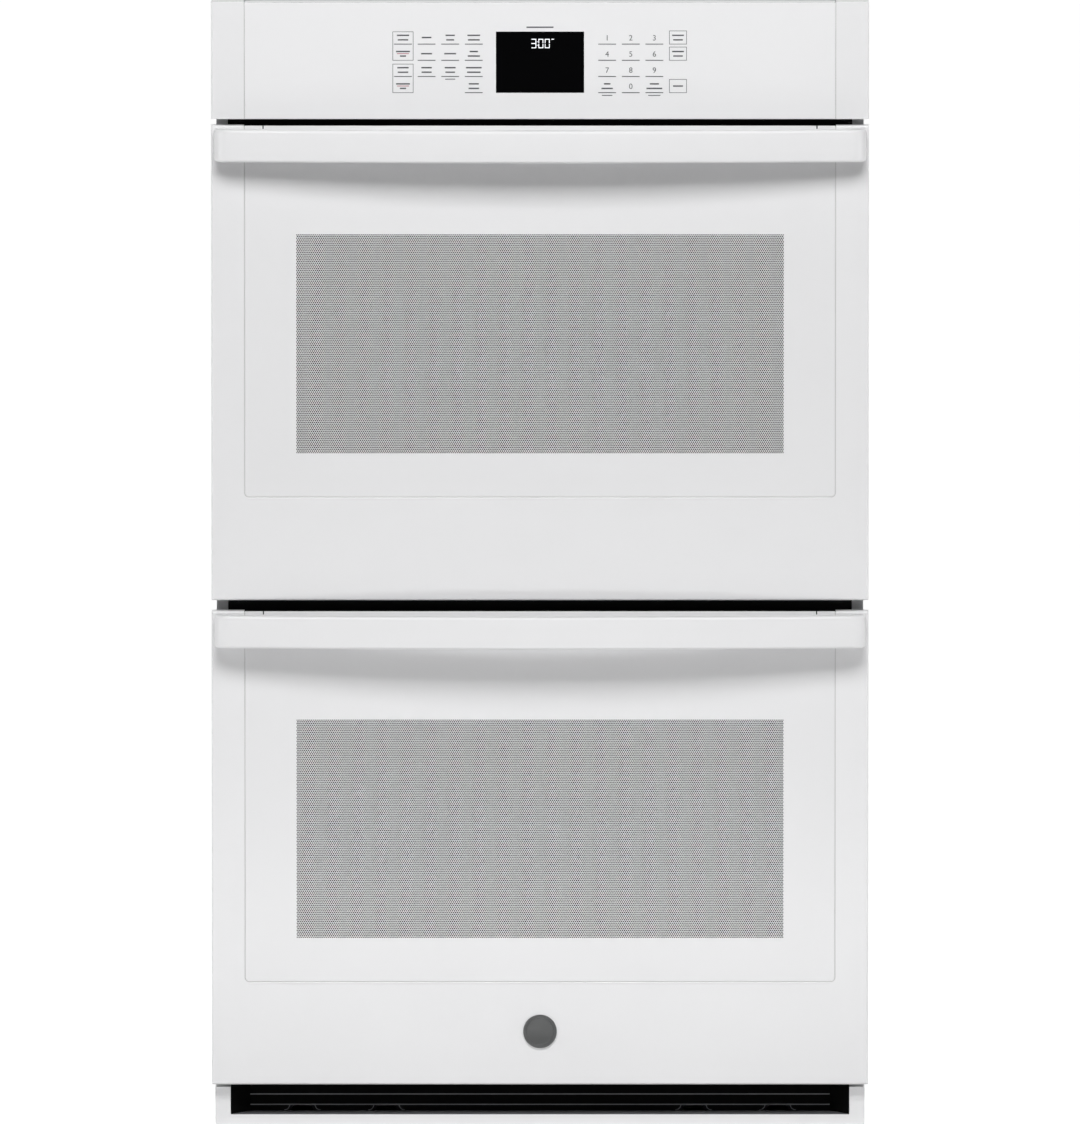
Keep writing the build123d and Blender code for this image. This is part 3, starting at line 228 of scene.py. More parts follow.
def fired_glass(name, colour, shade, window=None):
    """Tempered glass fired white behind: smooth and glossy.

    window is the height of the middle of a dotted window, where the white layer has dots in staggered
    rows: 1.8 mm dots, 2.4 mm apart, rows 2.06 mm apart, so a cell of the pattern holds two rows. The dots are
    painted near-black, as painted shade of the dark oven behind them, where the real glass is clear."""
    material, tree, shader, place = new_finish(name, IOR=1.5, Coat_Weight=0.2)
    cloud = add(tree, "ShaderNodeTexNoise", {"Vector": place, "Scale": 1 / 0.2, "Detail": 2.0})
    gloss = add(tree, "ShaderNodeMapRange", {"Value": cloud.outputs["Fac"], 3: 0.16, 4: 0.22})
    tree.links.new(gloss.outputs[0], shader.inputs["Roughness"])
    white = add(tree, "ShaderNodeMix", {0: cloud.outputs["Fac"], 6: linear(colour), 7: linear(shade)},
                data_type="RGBA").outputs[2]
    if window is None:
        tree.links.new(white, shader.inputs["Base Color"])
        return material
    cell = (0.0024, 0, 0.00412)
    dot_edge = (0.00086, 0.00094)    # dark inside the first radius, white outside the second
    nearest = []
    for shift in ((0, 0, window), (cell[0] / 2, 0, window + cell[2] / 2)):
        local = add(tree, "ShaderNodeVectorMath", {0: place, 1: shift}, operation="SUBTRACT").outputs[0]
        turns = add(tree, "ShaderNodeVectorMath", {0: local, 1: (1 / cell[0], 0, 1 / cell[2])},
                    operation="MULTIPLY").outputs[0]
        part = add(tree, "ShaderNodeVectorMath", {0: turns}, operation="FRACTION").outputs[0]
        centred = add(tree, "ShaderNodeVectorMath", {0: part, 1: (0.5, 0, 0.5)},
                      operation="SUBTRACT").outputs[0]
        offset = add(tree, "ShaderNodeVectorMath", {0: centred, 1: cell}, operation="MULTIPLY").outputs[0]
        nearest.append(add(tree, "ShaderNodeVectorMath", {0: offset}, operation="LENGTH").outputs["Value"])
    dot = add(tree, "ShaderNodeMath", {0: nearest[0], 1: nearest[1]}, operation="MINIMUM").outputs[0]
    inside_dot = add(tree, "ShaderNodeMapRange",
                     {"Value": dot, 1: dot_edge[0], 2: dot_edge[1], 3: 1.0, 4: 0.0}).outputs[0]
    apart = add(tree, "ShaderNodeVectorMath", {0: place, 1: (0, 0, window)}, operation="SUBTRACT").outputs[0]
    away = add(tree, "ShaderNodeVectorMath", {0: apart}, operation="ABSOLUTE").outputs[0]
    over = add(tree, "ShaderNodeVectorMath", {0: away, 1: (WINDOW_HALF[0], 1, WINDOW_HALF[1])},
               operation="SUBTRACT").outputs[0]
    axes = add(tree, "ShaderNodeSeparateXYZ", {0: over})
    outside = add(tree, "ShaderNodeMath", {0: axes.outputs["X"], 1: axes.outputs["Z"]},
                  operation="MAXIMUM").outputs[0]
    inside = add(tree, "ShaderNodeMath", {0: outside, 1: 0.0}, operation="LESS_THAN").outputs[0]
    dotted = add(tree, "ShaderNodeMath", {0: inside, 1: inside_dot}, operation="MULTIPLY").outputs[0]
    # Painted shade: the dots take a near-black colour for the dark oven seen through them, in place of clear
    # glass
    tint = add(tree, "ShaderNodeMix", {0: dotted, 6: white, 7: linear("0A0A0C")}, data_type="RGBA")
    tree.links.new(tint.outputs[2], shader.inputs["Base Color"])
    return material


galvanised_steel = galvanised()
speckled_porcelain = porcelain()
braided_gasket = woven()
clear_glass = lens_glass()
white_glass = fired_glass("white_glass", "F0F0F1", "EDEDEE")
door_glass = {oven: fired_glass(f"dotted_glass_{oven}", "EBEBEC", "E8E8E9", WINDOW_MIDDLE + lift)
              for oven, lift in OVENS}

# Finishes of the CAD nodes, by the record's slot and then by node
by_slot = {
    "galvanised_steel": galvanised_steel, "dark_enamel": speckled_porcelain, "grey_paint": grey_paint,
    "white_enamel": white_enamel, "white_moulding": white_moulding, "white_glass": white_glass,
    "black_plastic": black_plastic, "glass_wool": glass_wool, "element_sheath": element_sheath,
    "gasket_weave": braided_gasket, "clear_glass": clear_glass, "socket_ceramic": socket_ceramic,
    "hinge_steel": hinge_steel, "chrome_wire": chrome_wire, "board_laminate": board_laminate,
    "blower_aluminium": blower_aluminium,
}
for row in frame["record"]["subparts"]:
    mesh = frame["nodes"][row["node"]].data
    mesh.materials.clear()
    mesh.materials.append(by_slot[row["material_slot"]])
# The vent baffle's near-black is partly painted shade of the recess under the door
by_node = {"front_frame": black_enamel, "vent_baffle": matte_black, "control_panel_tray": white_enamel}
for node, finish in by_node.items():
    frame["nodes"][node].data.materials[0] = finish
for oven, finish in door_glass.items():
    frame["nodes"][f"{oven}_door_glass"].data.materials[0] = finish


def begin(kind):
    """Edit the newest piece, with its place applied and everything of one kind selected."""
    bpy.ops.object.transform_apply(location=True, rotation=True, scale=True)
    bpy.ops.object.mode_set(mode="EDIT")
    bpy.ops.mesh.select_mode(type=kind)
    bpy.ops.mesh.select_all(action="SELECT")


def go(move):
    """Extrude what is selected along a straight move."""
    bpy.ops.mesh.extrude_region_move(TRANSFORM_OT_translate={"value": move})


def turn(centre, angle, axis, steps=8):
    """Sweep what is selected round an axis, by the right-hand rule."""
    bpy.ops.mesh.spin(steps=steps, angle=-angle, center=centre, axis=axis)


def close():
    """Merge the seams of the newest piece, face it outward and leave edit mode."""
    bpy.ops.mesh.select_all(action="SELECT")
    bpy.ops.mesh.remove_doubles(threshold=1e-6)
    bpy.ops.mesh.normals_make_consistent(inside=False)
    bpy.ops.object.mode_set(mode="OBJECT")


def loop(middle, side, up, corner):
    """Sweep a ring of edges, set at the middle of the foot, round a rectangle with rounded corners.

    side and up lead from the rectangle's middle to the middles of its edges."""
    across = side - side.normalized() * corner
    along = up - up.normalized() * corner
    axis = side.cross(up).normalized()
    go(across)
    for centre, move in ((across - along, 2 * along), (across + along, -2 * across),
                         (along - across, -2 * along), (-across - along, across)):
        turn(middle + centre, pi / 2, axis)
        go(move)
    close()


def join_all(name):
    """Join the loose pieces of one name into one."""
    for piece in bpy.context.scene.objects:
        piece.select_set(piece.name.startswith(name))
    bpy.ops.object.join()


def copies(name, spots):
    """Set a copy of the newest piece at each (place, turn), and join the copies into one piece."""
    pattern = bpy.context.object
    for place, lean in spots:
        bpy.ops.object.duplicate()
        bpy.context.object.location = place
        bpy.context.object.rotation_euler = lean
    bpy.data.meshes.remove(pattern.data)
    join_all(name)


def modify(kind, **settings):
    """Add a modifier to the newest piece and apply it."""
    modifier = bpy.context.object.modifiers.new(kind.title(), kind)
    for name, value in settings.items():
        setattr(modifier, name, value)
    bpy.ops.object.modifier_apply(modifier=modifier.name)


def hand_over(finish, slot, *uses):
    """Finish the newest piece, and hand a copy of it to its body for each use.

    A use is the copy's lift, its name, its body and the CAD nodes that it replaces."""
    pattern = bpy.context.object
    pattern.name = "pattern"
    bpy.ops.object.shade_smooth_by_angle(angle=SMOOTH)
    pattern.data.materials.clear()
    pattern.data.materials.append(finish)
    for lift, name, body, *nodes in uses:
        bpy.ops.object.select_all(action="DESELECT")
        pattern.select_set(True)
        bpy.context.view_layer.objects.active = pattern
        bpy.ops.object.duplicate_move(TRANSFORM_OT_translate={"value": (0, 0, lift)})
        piece = bpy.context.object
        bpy.ops.object.transform_apply(location=True, rotation=True, scale=True)
        piece.name = piece.data.name = name
        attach(piece, body)
        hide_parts(*nodes)
    bpy.data.meshes.remove(pattern.data)
    bpy.ops.object.select_all(action="DESELECT")


# Door handles: a flat bar swept out of one post, along a shallow bow and into the other post
BAR = (0.016, 0.0372)            # thickness and height
BAR_EDGE = 0.0032                # rounding of its edges
BAR_Z = 0.5745
HANDLE_HALF = 0.374025
POST_X = HANDLE_HALF - BAR[0] / 2
TURN = 0.010                     # radius of the bends between the posts and the bow
BOW = radians(6.5)               # half of the angle that the bow turns through
bow_half = POST_X - TURN * (1 - sin(BOW))
bow_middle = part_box("lower_door_handle")[0].y + BAR[0] / 2
bow_radius = bow_half / sin(BOW)
post_end = bow_middle + bow_half * tan(BOW / 2) + TURN * cos(BOW)
bpy.ops.mesh.primitive_plane_add(size=1, location=(-POST_X, FACE, BAR_Z), rotation=(pi / 2, 0, 0))
bpy.context.object.scale = (*BAR, 1)
begin("FACE")
go((0, post_end - FACE, 0))
turn((TURN - POST_X, post_end, BAR_Z), pi / 2 - BOW, Z)
turn((0, bow_middle + bow_radius, BAR_Z), 2 * BOW, Z, steps=64)
turn((POST_X - TURN, post_end, BAR_Z), pi / 2 - BOW, Z)
go((0, FACE - post_end, 0))
close()
modify("BEVEL", width=BAR_EDGE, segments=5, limit_method="ANGLE", angle_limit=CREASE)
hand_over(white_moulding, "white_moulding",
          *((lift, f"{oven}_handle", f"{oven}_door", f"{oven}_door_handle") for oven, lift in OVENS))

# Sealant bead in the seam round each door glass: down one side, across the foot and up the other
BEAD = (0.0007, 0.0026)          # width and depth
SEAM_X = 0.33965
SEAM_FOOT = 0.1680
SEAM_TURN = 0.0054               # radius of its corners
SEAM_TOP = 0.5950
SEAM_SINK = 0.0001               # from the glass to the bead's face
bead_y = FACE + SEAM_SINK + BEAD[1] / 2
turn_z = SEAM_FOOT + SEAM_TURN
turn_x = SEAM_X - SEAM_TURN
bpy.ops.mesh.primitive_plane_add(size=1, location=(-SEAM_X, bead_y, SEAM_TOP))
bpy.context.object.scale = (*BEAD, 1)
begin("FACE")
go((0, 0, turn_z - SEAM_TOP))
turn((-turn_x, bead_y, turn_z), -pi / 2, Y)
go((2 * turn_x, 0, 0))
turn((turn_x, bead_y, turn_z), -pi / 2, Y)
go((0, 0, SEAM_TOP - turn_z))
close()
# The bead's darker grey is partly painted shade of the seam
hand_over(white_sealant, "white_moulding",
          *((lift, f"{oven}_glass_bead", f"{oven}_door") for oven, lift in OVENS))

# Rolled edge of the painted skin under each door glass: it leans back, so it catches the light from above
LIP = (0.0005, 0.0014)           # depth and height
LIP_FRONT = 0.3                  # height of its front, as a share of its height at the skin
bpy.ops.mesh.primitive_plane_add(size=1, location=(0, FACE, SEAM_FOOT - (BEAD[0] + LIP[1]) / 2),
                                 rotation=(pi / 2, 0, 0))
bpy.context.object.scale = (2 * turn_x, LIP[1], 1)
begin("FACE")
go((0, -LIP[0], 0))
bpy.ops.transform.resize(value=(1, 1, LIP_FRONT))
bpy.ops.transform.translate(value=(0, 0, (LIP_FRONT - 1) / 2 * LIP[1]))
close()
hand_over(white_enamel, "white_enamel",
          *((lift, f"{oven}_skin_lip", f"{oven}_door") for oven, lift in OVENS))

# Sealant beads in the two seams of the control panel
panel_low, panel_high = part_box("control_panel_glass")
for side in (-1, 1):
    bpy.ops.mesh.primitive_plane_add(size=1, location=(side * SEAM_X, bead_y, panel_low.z))
    bpy.context.object.name = "panel_beads"
    bpy.context.object.scale = (*BEAD, 1)
join_all("panel_beads")
begin("FACE")
go((0, 0, panel_high.z - panel_low.z))
close()
# The beads' darker grey is partly painted shade of the seams
hand_over(white_sealant, "white_moulding", (0, "panel_beads", "chassis"))

# Plain disc on the lower door's bottom band: a rim, a groove and a ring round a sunk face
DISC_Z = 0.1108
DISC_RADIUS = 0.0193
DISC_RISE = 0.0024
DISC_STEPS = ((0.0024, 0.0006), (0.0010, -0.0004), (0.0010, 0.0006))    # ring width, and the step inside it
DISC_EDGE = 0.0002
bpy.ops.mesh.primitive_circle_add(vertices=72, radius=DISC_RADIUS, fill_type="NGON",
                                  location=(0, FACE, DISC_Z), rotation=(pi / 2, 0, 0))
begin("FACE")
go((0, -DISC_RISE, 0))
for width, step in DISC_STEPS:
    bpy.ops.mesh.inset(thickness=width)
    go((0, step, 0))
close()
modify("BEVEL", width=DISC_EDGE, segments=3, limit_method="ANGLE", angle_limit=CREASE)
hand_over(satin_nickel, "hinge_steel", (0, "door_disc", "lower_door"))

# Oven racks: a round wire frame with bars across it, and one wire under the bars
WIRE = 0.003                     # radius of the frame's wire
RACK_BAR = 0.0018                # radius of a bar
BARS = 12
RACK_Z = 0.27477
RACK_CORNER = 0.024
rack_low, rack_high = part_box("lower_rack_low")
rack_half = rack_high.x - WIRE
rack_near, rack_far = rack_low.y + WIRE, rack_high.y - WIRE
rack_middle = Vector((0, (rack_near + rack_far) / 2, RACK_Z))
bar_pitch = 2 * rack_half / (BARS + 1)
bpy.ops.mesh.primitive_circle_add(vertices=12, radius=RACK_BAR, fill_type="NGON", rotation=(pi / 2, 0, 0),
                                  location=(bar_pitch * (1 - BARS) / 2, rack_near, RACK_Z))
bpy.context.object.name = "rack"
begin("FACE")
go((0, rack_far - rack_near, 0))
close()
modify("ARRAY", count=BARS, use_relative_offset=False, use_constant_offset=True,
       constant_offset_displace=(bar_pitch, 0, 0))
bpy.ops.mesh.primitive_circle_add(vertices=12, radius=RACK_BAR, fill_type="NGON", rotation=(0, pi / 2, 0),
                                  location=(-rack_half, rack_middle.y, RACK_Z - RACK_BAR))
bpy.context.object.name = "rack"
begin("FACE")
go((2 * rack_half, 0, 0))
close()
bpy.ops.mesh.primitive_circle_add(vertices=16, radius=WIRE, rotation=(0, pi / 2, 0),
                                  location=(0, rack_near, RACK_Z))
bpy.context.object.name = "rack"
begin("EDGE")
loop(rack_middle, rack_half * X, (rack_far - rack_middle.y) * Y, RACK_CORNER)
join_all("rack")
rack_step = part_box("lower_rack_high")[0].z - rack_low.z
hand_over(chrome_wire, "chrome_wire",
          *((lift + rise, f"{oven}_{rack}_wires", f"{oven}_{rack}", f"{oven}_{rack}") for oven, lift in OVENS
            for rack, rise in (("rack_low", 0), ("rack_high", rack_step))))

# Door gaskets: a soft flattened tube round each mouth
GASKET_WIDTH = 0.010
GASKET_CORNER = 0.017
gasket_low, gasket_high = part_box("lower_gasket")
gasket_middle = (gasket_low + gasket_high) / 2
gasket_half = gasket_high - gasket_middle - GASKET_WIDTH / 2 * (X + Z)
bpy.ops.mesh.primitive_circle_add(vertices=20, radius=0.5, location=gasket_middle - gasket_half.z * Z,
                                  rotation=(0, pi / 2, 0))
bpy.context.object.scale = (GASKET_WIDTH, gasket_high.y - gasket_low.y, 1)
begin("EDGE")
loop(gasket_middle, gasket_half.x * X, gasket_half.z * Z, GASKET_CORNER)
hand_over(braided_gasket, "gasket_weave",
          *((lift, f"{oven}_gasket_tube", "chassis", f"{oven}_gasket") for oven, lift in OVENS))

# Case screws: hexagon heads on washer flanges, down the sides' edges and round the top
FLANGE = (0.0060, 0.0010)        # radius and height
HEAD = (0.0043, 0.0048)
DISH = (0.0012, 0.0006)          # wall round the dish in the head, and its depth
SCREW_EDGE = 0.0003
SIDE_INSETS = (0.016, 0.014)     # from the front and the back of a side
SIDE_HEIGHTS = (0.080, 0.360, 0.640, 0.920, 1.200)
TOP_X = 0.340
TOP_Y = (-0.200, 0.050, 0.300)
case_low, case_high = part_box("case_side_right")
screw_spots = [((way * case_high.x, y, z), (0, way * pi / 2, 0)) for way in (-1, 1)
               for y in (case_low.y + SIDE_INSETS[0], case_high.y - SIDE_INSETS[1]) for z in SIDE_HEIGHTS]
screw_spots += [((way * TOP_X, y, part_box("case_top")[1].z), (0, 0, 0)) for way in (-1, 1) for y in TOP_Y]
bpy.ops.mesh.primitive_circle_add(vertices=28, radius=FLANGE[0], fill_type="NGON")
bpy.context.object.name = "screw"
begin("FACE")
go((0, 0, FLANGE[1]))
close()
bpy.ops.mesh.primitive_circle_add(vertices=6, radius=HEAD[0], fill_type="NGON")
bpy.context.object.name = "screw"
begin("FACE")
go((0, 0, HEAD[1]))
bpy.ops.mesh.inset(thickness=DISH[0])
go((0, 0, -DISH[1]))
close()
join_all("screw")
modify("BEVEL", width=SCREW_EDGE, segments=2, limit_method="ANGLE", angle_limit=CREASE)
copies("screw", screw_spots)
hand_over(hinge_steel, "hinge_steel", (0, "case_screws", "chassis"))


def printed(name, finish, slot, marks, lift=PRINT, face=FACE):
    """Marks on an upright face, as on the control panel's glass: one for each (x, z, width, height)."""
    for x, z, width, height in marks:
        bpy.ops.mesh.primitive_plane_add(size=1, location=(x, face, z), rotation=(pi / 2, 0, 0))
        bpy.context.object.name = name
        bpy.context.object.scale = (width, height, 1)
    join_all(name)
    begin("FACE")
    go((0, -lift, 0))
    close()
    hand_over(finish, slot, (0, name, "chassis"))


def box(x, z, width, height):
    """The four sides of a printed box that stands on height z; its uprights stop short of its level lines."""
    level = [(x, z + up, width, BOX_LINE) for up in (0, height)]
    return level + [(x + way * (width - BOX_LINE) / 2, z + height / 2, BOX_LINE, height - BOX_CUT)
                    for way in (-1, 1)]


def figure(x, bars, sides):
    """A seven-segment figure of the clock: its level strokes, and its upright ones as (side, half).

    The upright strokes stop just short of the level ones."""
    level = [(x, CLOCK_Z + bar * FIGURE[1] / 2, FIGURE[0], STROKE) for bar in bars]
    return level + [(x + side * (FIGURE[0] - STROKE) / 2, CLOCK_Z + half * FIGURE[1] / 4, STROKE,
                     FIGURE[1] / 2 - STROKE_CUT) for side, half in sides]


# Vent baffle's folds: two level ones, and the rounded corners beside its notches; their grey is a painted
# highlight along the folds' edges
BAFFLE_SHEET = 0.0015
FOLDS = (0.0220, 0.0340)         # heights of the level folds
FOLD = (0.0012, 0.0010)          # height and depth of one
NOTCHES = (0.27402, 0.17702)
NOTCH_CORNER = 0.0065
NOTCH_HALF = 0.0210              # from a notch's middle to the centres of its corners
RIM = 0.0005                     # radius of a rounded corner's rim
BAFFLE_MITRE = 0.022             # from an end of the baffle to the end of its folds
baffle_low, baffle_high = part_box("vent_baffle")
baffle_face = baffle_high.y - BAFFLE_SHEET
folds_width = 2 * (baffle_high.x - BAFFLE_MITRE)
printed("vent_folds", worn_steel, "black_plastic", [(0, z, folds_width, FOLD[0]) for z in FOLDS],
        FOLD[1], baffle_face)
bpy.ops.mesh.primitive_circle_add(vertices=8, radius=RIM, fill_type="NGON", location=(NOTCH_CORNER, 0, 0))
bpy.context.object.name = "rim"
begin("FACE")
turn((0, 0, 0), pi / 2, Y)
close()
copies("rim", [((side * middle + way * NOTCH_HALF, baffle_face, FOLDS[0]), (0, 0, 0 if way < 0 else pi))
               for side in (-1, 1) for middle in NOTCHES for way in (-1, 1)])
hand_over(worn_steel, "black_plastic", (0, "vent_rims", "chassis"))

# Vent floor: a sheet that rises from the front of the rail to the baffle's foot, with mitred ends; its dark
# grey is painted shade in the recess under the door
FLOOR_SHEET = 0.0004
FLOOR_RISE = 0.0014
floor_front = baffle_low.y
floor_back = baffle_face - FOLD[1]
floor_middle = (floor_front + floor_back) / 2
bpy.ops.mesh.primitive_plane_add(size=1, location=(0, floor_middle, baffle_low.z))
bpy.context.object.scale = (2 * baffle_high.x, floor_back - floor_front, 1)
begin("VERT")
bpy.ops.mesh.select_all(action="DESELECT")
bpy.ops.object.mode_set(mode="OBJECT")
for corner in bpy.context.object.data.vertices:
    corner.select = corner.co.y > floor_middle
bpy.ops.object.mode_set(mode="EDIT")
bpy.ops.transform.resize(value=(folds_width / (2 * baffle_high.x), 1, 1))
bpy.ops.transform.translate(value=(0, 0, FLOOR_RISE))
bpy.ops.object.mode_set(mode="OBJECT")
begin("FACE")
go((0, 0, FLOOR_SHEET))
close()
hand_over(worn_steel, "black_plastic", (0, "vent_floor", "chassis"))

# Control panel print: four columns of keys on each side of a black display, in four underlined rows
COLUMNS = {-1: (-0.0760, -0.1031, -0.1302, -0.1573), 1: (0.0771, 0.1042, 0.1313, 0.1584)}
ROWS = (1.2491, 1.2305, 1.2119, 1.1933)
UNDERLINE = (0.0204, 0.0010)
BOX_LINE = 0.0006
BOX_CUT = 0.00066                # how much shorter an upright is than its box
PAIR_BOX = (0.0240, 0.0328)      # round two keys, one above the other
KEY_BOX = (0.0203, 0.0152)
DISPLAY_Z = 1.2283
DISPLAY = (0.1012, 0.0704)
CLOCK_Z = 1.2498
FIGURE = (0.0056, 0.0098)
STROKE = 0.0008
STROKE_CUT = 0.00096             # how much shorter an upright stroke is than half a figure
NUMBER_RISE = 0.0042             # foot of a number above its underline
NUMBER_SIZE = 0.0090
LABEL_RISES = {1: (0.0076,), 2: (0.0101, 0.0049)}    # of one bar, or of two, above the underline
LABEL = 0.0016                   # height of the plain bar that labels a key
HEADING = (0.0194, 0.0310)       # rise above the top underlines and width of the bar over the display
NOTE = 0.0010                    # height of the small bars under some underlines
NOTE_DROP = 0.0031
STOP = (0.0138, 0.0008)          # red bar on the two keys that stop an oven
lines = [(x, z, *UNDERLINE) for side in (-1, 1) for x in COLUMNS[side][:3] for z in ROWS[:3]]
lines += [(x, ROWS[3], *UNDERLINE) for x in (COLUMNS[-1][0], *COLUMNS[1][:3])]
lines += [(COLUMNS[-1][3], z, *UNDERLINE) for z in (ROWS[0], ROWS[2])]
for z in (ROWS[1], ROWS[3]):
    lines += box(COLUMNS[-1][3], z, *PAIR_BOX)
for z in (ROWS[0], ROWS[1], ROWS[3]):
    lines += box(COLUMNS[1][3], z, *KEY_BOX)
printed("panel_lines", grey_ink, "black_plastic", lines)

# Label bars: side, column, row and the widths of the bars in millimetres
LABELS = ((-1, 3, 0, (14, 12)), (-1, 3, 1, (16, 7)), (-1, 3, 2, (13, 12)), (-1, 3, 3, (16, 7)),
          (-1, 2, 0, (11,)), (-1, 2, 1, (12.5,)), (-1, 2, 2, (12, 11.5)),
          (-1, 1, 0, (10.5, 9)), (-1, 1, 1, (13.5,)), (-1, 1, 2, (12.5, 11)),
          (-1, 0, 0, (14.5, 13.5)), (-1, 0, 1, (9.5, 14)), (-1, 0, 2, (18, 15.5)), (-1, 0, 3, (11.5, 12)),
          (1, 0, 3, (7.5, 13)), (1, 2, 3, (10.5, 18)),
          (1, 3, 0, (13.5, 11)), (1, 3, 1, (13.5, 11)), (1, 3, 3, (11.5,)))
NOTES = ((-1, 1, 2, 11.5), (1, 0, 3, 12), (1, 2, 3, 14))
labels = [(0, ROWS[0] + HEADING[0], HEADING[1], LABEL)]
for side, column, row, widths in LABELS:
    labels += [(COLUMNS[side][column], ROWS[row] + rise, width / 1000, LABEL)
               for rise, width in zip(LABEL_RISES[len(widths)], widths)]
labels += [(COLUMNS[side][column], ROWS[row] - NOTE_DROP, width / 1000, NOTE)
           for side, column, row, width in NOTES]
printed("panel_labels", grey_ink, "black_plastic", labels)
printed("panel_stops", red_ink, "black_plastic",
        [(COLUMNS[-1][3], z + LABEL_RISES[1][0], *STOP) for z in (ROWS[1], ROWS[3])])
printed("panel_display", black_display, "black_plastic", [(0, DISPLAY_Z, *DISPLAY)])

# Clock strokes, on the display: a three, a colon, two noughts and a short bar after them
THREE_X = -0.0071
NOUGHTS_X = (0.0010, 0.0083)
COLON = (-0.0031, 0.0020)        # place, and rise and drop of its points
AFTER = (0.0146, 0.0030)         # place and width of the short bar
clock = figure(THREE_X, (-1, 0, 1), ((1, -1), (1, 1)))
for x in NOUGHTS_X:
    clock += figure(x, (-1, 1), ((-1, -1), (-1, 1), (1, -1), (1, 1)))
clock += [(COLON[0], CLOCK_Z + way * COLON[1], STROKE, STROKE) for way in (-1, 1)]
clock.append((AFTER[0], CLOCK_Z + FIGURE[1] / 2, AFTER[1], STROKE))
printed("panel_clock", lit_segments, "white_glass", clock, lift=2 * PRINT)

# Number keys
for number in range(10):
    row, column = divmod(number - 1, 3) if number else (3, 1)
    bpy.ops.object.text_add(location=(COLUMNS[1][column], FACE, ROWS[row] + NUMBER_RISE),
                            rotation=(pi / 2, 0, 0))
    text = bpy.context.object
    text.name = "panel_numbers"
    text.data.body = str(number)
    text.data.size = NUMBER_SIZE
    text.data.align_x = "CENTER"
    text.data.extrude = PRINT
    bpy.ops.object.convert(target="MESH")
join_all("panel_numbers")
begin("FACE")
close()
hand_over(grey_ink, "black_plastic", (0, "panel_numbers", "chassis"))

# Stage: a pale floor that glows beside and behind the oven, as painted light; in front of the oven the glow
# fades out in a fan, a painted shadow of the oven on the floor
FLOOR_SIZE = 400
FLOOR_DROP = 0.0005              # below the oven's foot
GLOW = 0.80
GLOW_FRONT = 0.25                # the full glow starts this far in front of the oven's middle
FADE_NEAR = (0.38, 0.04)         # at this distance to the side, the glow fades over this length
FADE_FAR = (3.0, 1.2)
bpy.ops.mesh.primitive_plane_add(size=FLOOR_SIZE, location=(0, 0, -FLOOR_DROP))
floor = bpy.context.object
floor.name = "floor"
sweep, tree, shader, place = new_finish("white_sweep", Roughness=0.9)
shader.inputs["Base Color"].default_value = linear("D2D2D2")
shader.inputs["Emission Color"].default_value = linear("FFFFFF")
ground = add(tree, "ShaderNodeSeparateXYZ", {0: place}).outputs
aside = add(tree, "ShaderNodeMath", {0: ground["X"]}, operation="ABSOLUTE").outputs[0]
reach = add(tree, "ShaderNodeMapRange", {"Value": aside, 1: FADE_NEAR[0], 2: FADE_FAR[0],
                                         3: FADE_NEAR[1], 4: FADE_FAR[1]}).outputs[0]
before = add(tree, "ShaderNodeMath", {0: ground["Y"], 1: GLOW_FRONT}, operation="ADD").outputs[0]
fade = add(tree, "ShaderNodeMath", {0: before, 1: reach}, operation="DIVIDE").outputs[0]
# Painted shadow: the glow is zero in front of the oven and rises across the fan's width
glow = add(tree, "ShaderNodeMapRange", {"Value": fade, 1: -1.0, 2: 0.0, 3: 0.0, 4: GLOW},
           interpolation_type="SMOOTHSTEP").outputs[0]
tree.links.new(glow, shader.inputs["Emission Strength"])
floor.data.materials.append(sweep)
bpy.ops.object.select_all(action="DESELECT")

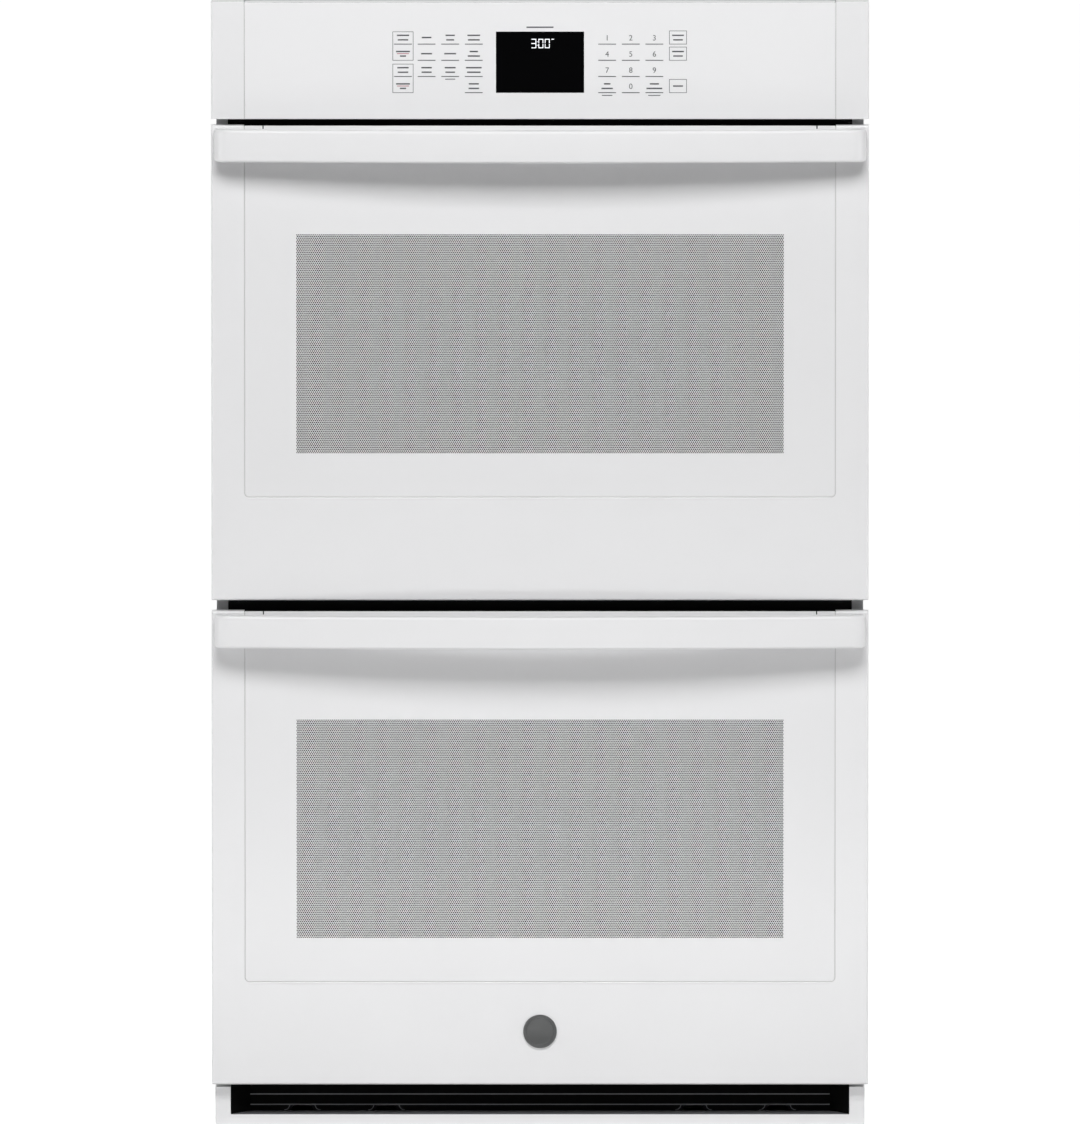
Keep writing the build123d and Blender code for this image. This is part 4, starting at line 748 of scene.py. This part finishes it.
# Studio walls: dim all round, a little brighter overhead and bright behind the oven
WALL = (0.05, 0.08)              # strength at the horizon and overhead
BACKDROP = 0.7                   # added behind the oven
BACKDROP_EDGE = 0.6              # share of the way from the side to straight behind where it is full
world = bpy.data.worlds.new("studio")
world.use_nodes = True
tree = world.node_tree
ways = add(tree, "ShaderNodeSeparateXYZ", {0: add(tree, "ShaderNodeTexCoord").outputs["Generated"]}).outputs
above = add(tree, "ShaderNodeMapRange",
            {"Value": ways["Z"], 1: 0.0, 2: 1.0, 3: WALL[0], 4: WALL[1]}).outputs[0]
behind = add(tree, "ShaderNodeMapRange",
             {"Value": ways["Y"], 1: 0.0, 2: BACKDROP_EDGE, 3: 0.0, 4: BACKDROP}).outputs[0]
sky = add(tree, "ShaderNodeMath", {0: above, 1: behind}, operation="ADD").outputs[0]
tree.nodes["Background"].inputs["Color"].default_value = (1, 1, 1, 1)
tree.links.new(sky, tree.nodes["Background"].inputs["Strength"])
bpy.context.scene.world = world
bpy.context.scene.view_settings.view_transform = "Standard"

# Soft lights: place, aim, width and height, watts, spread in degrees and whether glossy surfaces mirror them
LIGHTS = {
    "top_light": ((0, -2.6, 2.85), (0, -0.3, 0.65), (2.6, 1.05), 79.5, 180, True),
    "front_light": ((0, -1.2, 0.15), (0, -0.28, 0.20), (1.6, 0.11), 1.4, 110, False),
    "left_light": ((-3.0, -0.9, 0.9), (0, -0.3, 0.7), (1.0, 1.2), 11, 180, True),
    "right_light": ((3.0, -0.9, 0.9), (0, -0.3, 0.7), (1.0, 1.2), 11, 180, True),
}
for name, (spot, aim, size, power, spread, mirrored) in LIGHTS.items():
    light = bpy.data.lights.new(name, "AREA")
    light.shape = "RECTANGLE"
    light.size, light.size_y = size
    light.energy = power
    light.spread = radians(spread)
    lamp = bpy.data.objects.new(name, light)
    lamp.visible_glossy = mirrored
    lamp.location = spot
    lamp.rotation_euler = (Vector(aim) - Vector(spot)).to_track_quat("-Z", "Y").to_euler()
    bpy.context.scene.collection.objects.link(lamp)

# Camera: far off and a little above, so that the front shows almost without perspective
TILT = radians(4.5)
DISTANCE = 30
LENS = 835
CLIP = 1000
AIM = (0, FACE, 0.6522)
camera = bpy.data.objects.new("camera", bpy.data.cameras.new("camera"))
camera.location = (0, AIM[1] - DISTANCE * cos(TILT), AIM[2] + DISTANCE * sin(TILT))
camera.rotation_euler = (pi / 2 - TILT, 0, 0)
camera.data.sensor_width = 36
camera.data.lens = LENS
camera.data.clip_end = CLIP
bpy.context.scene.collection.objects.link(camera)
bpy.context.scene.camera = camera
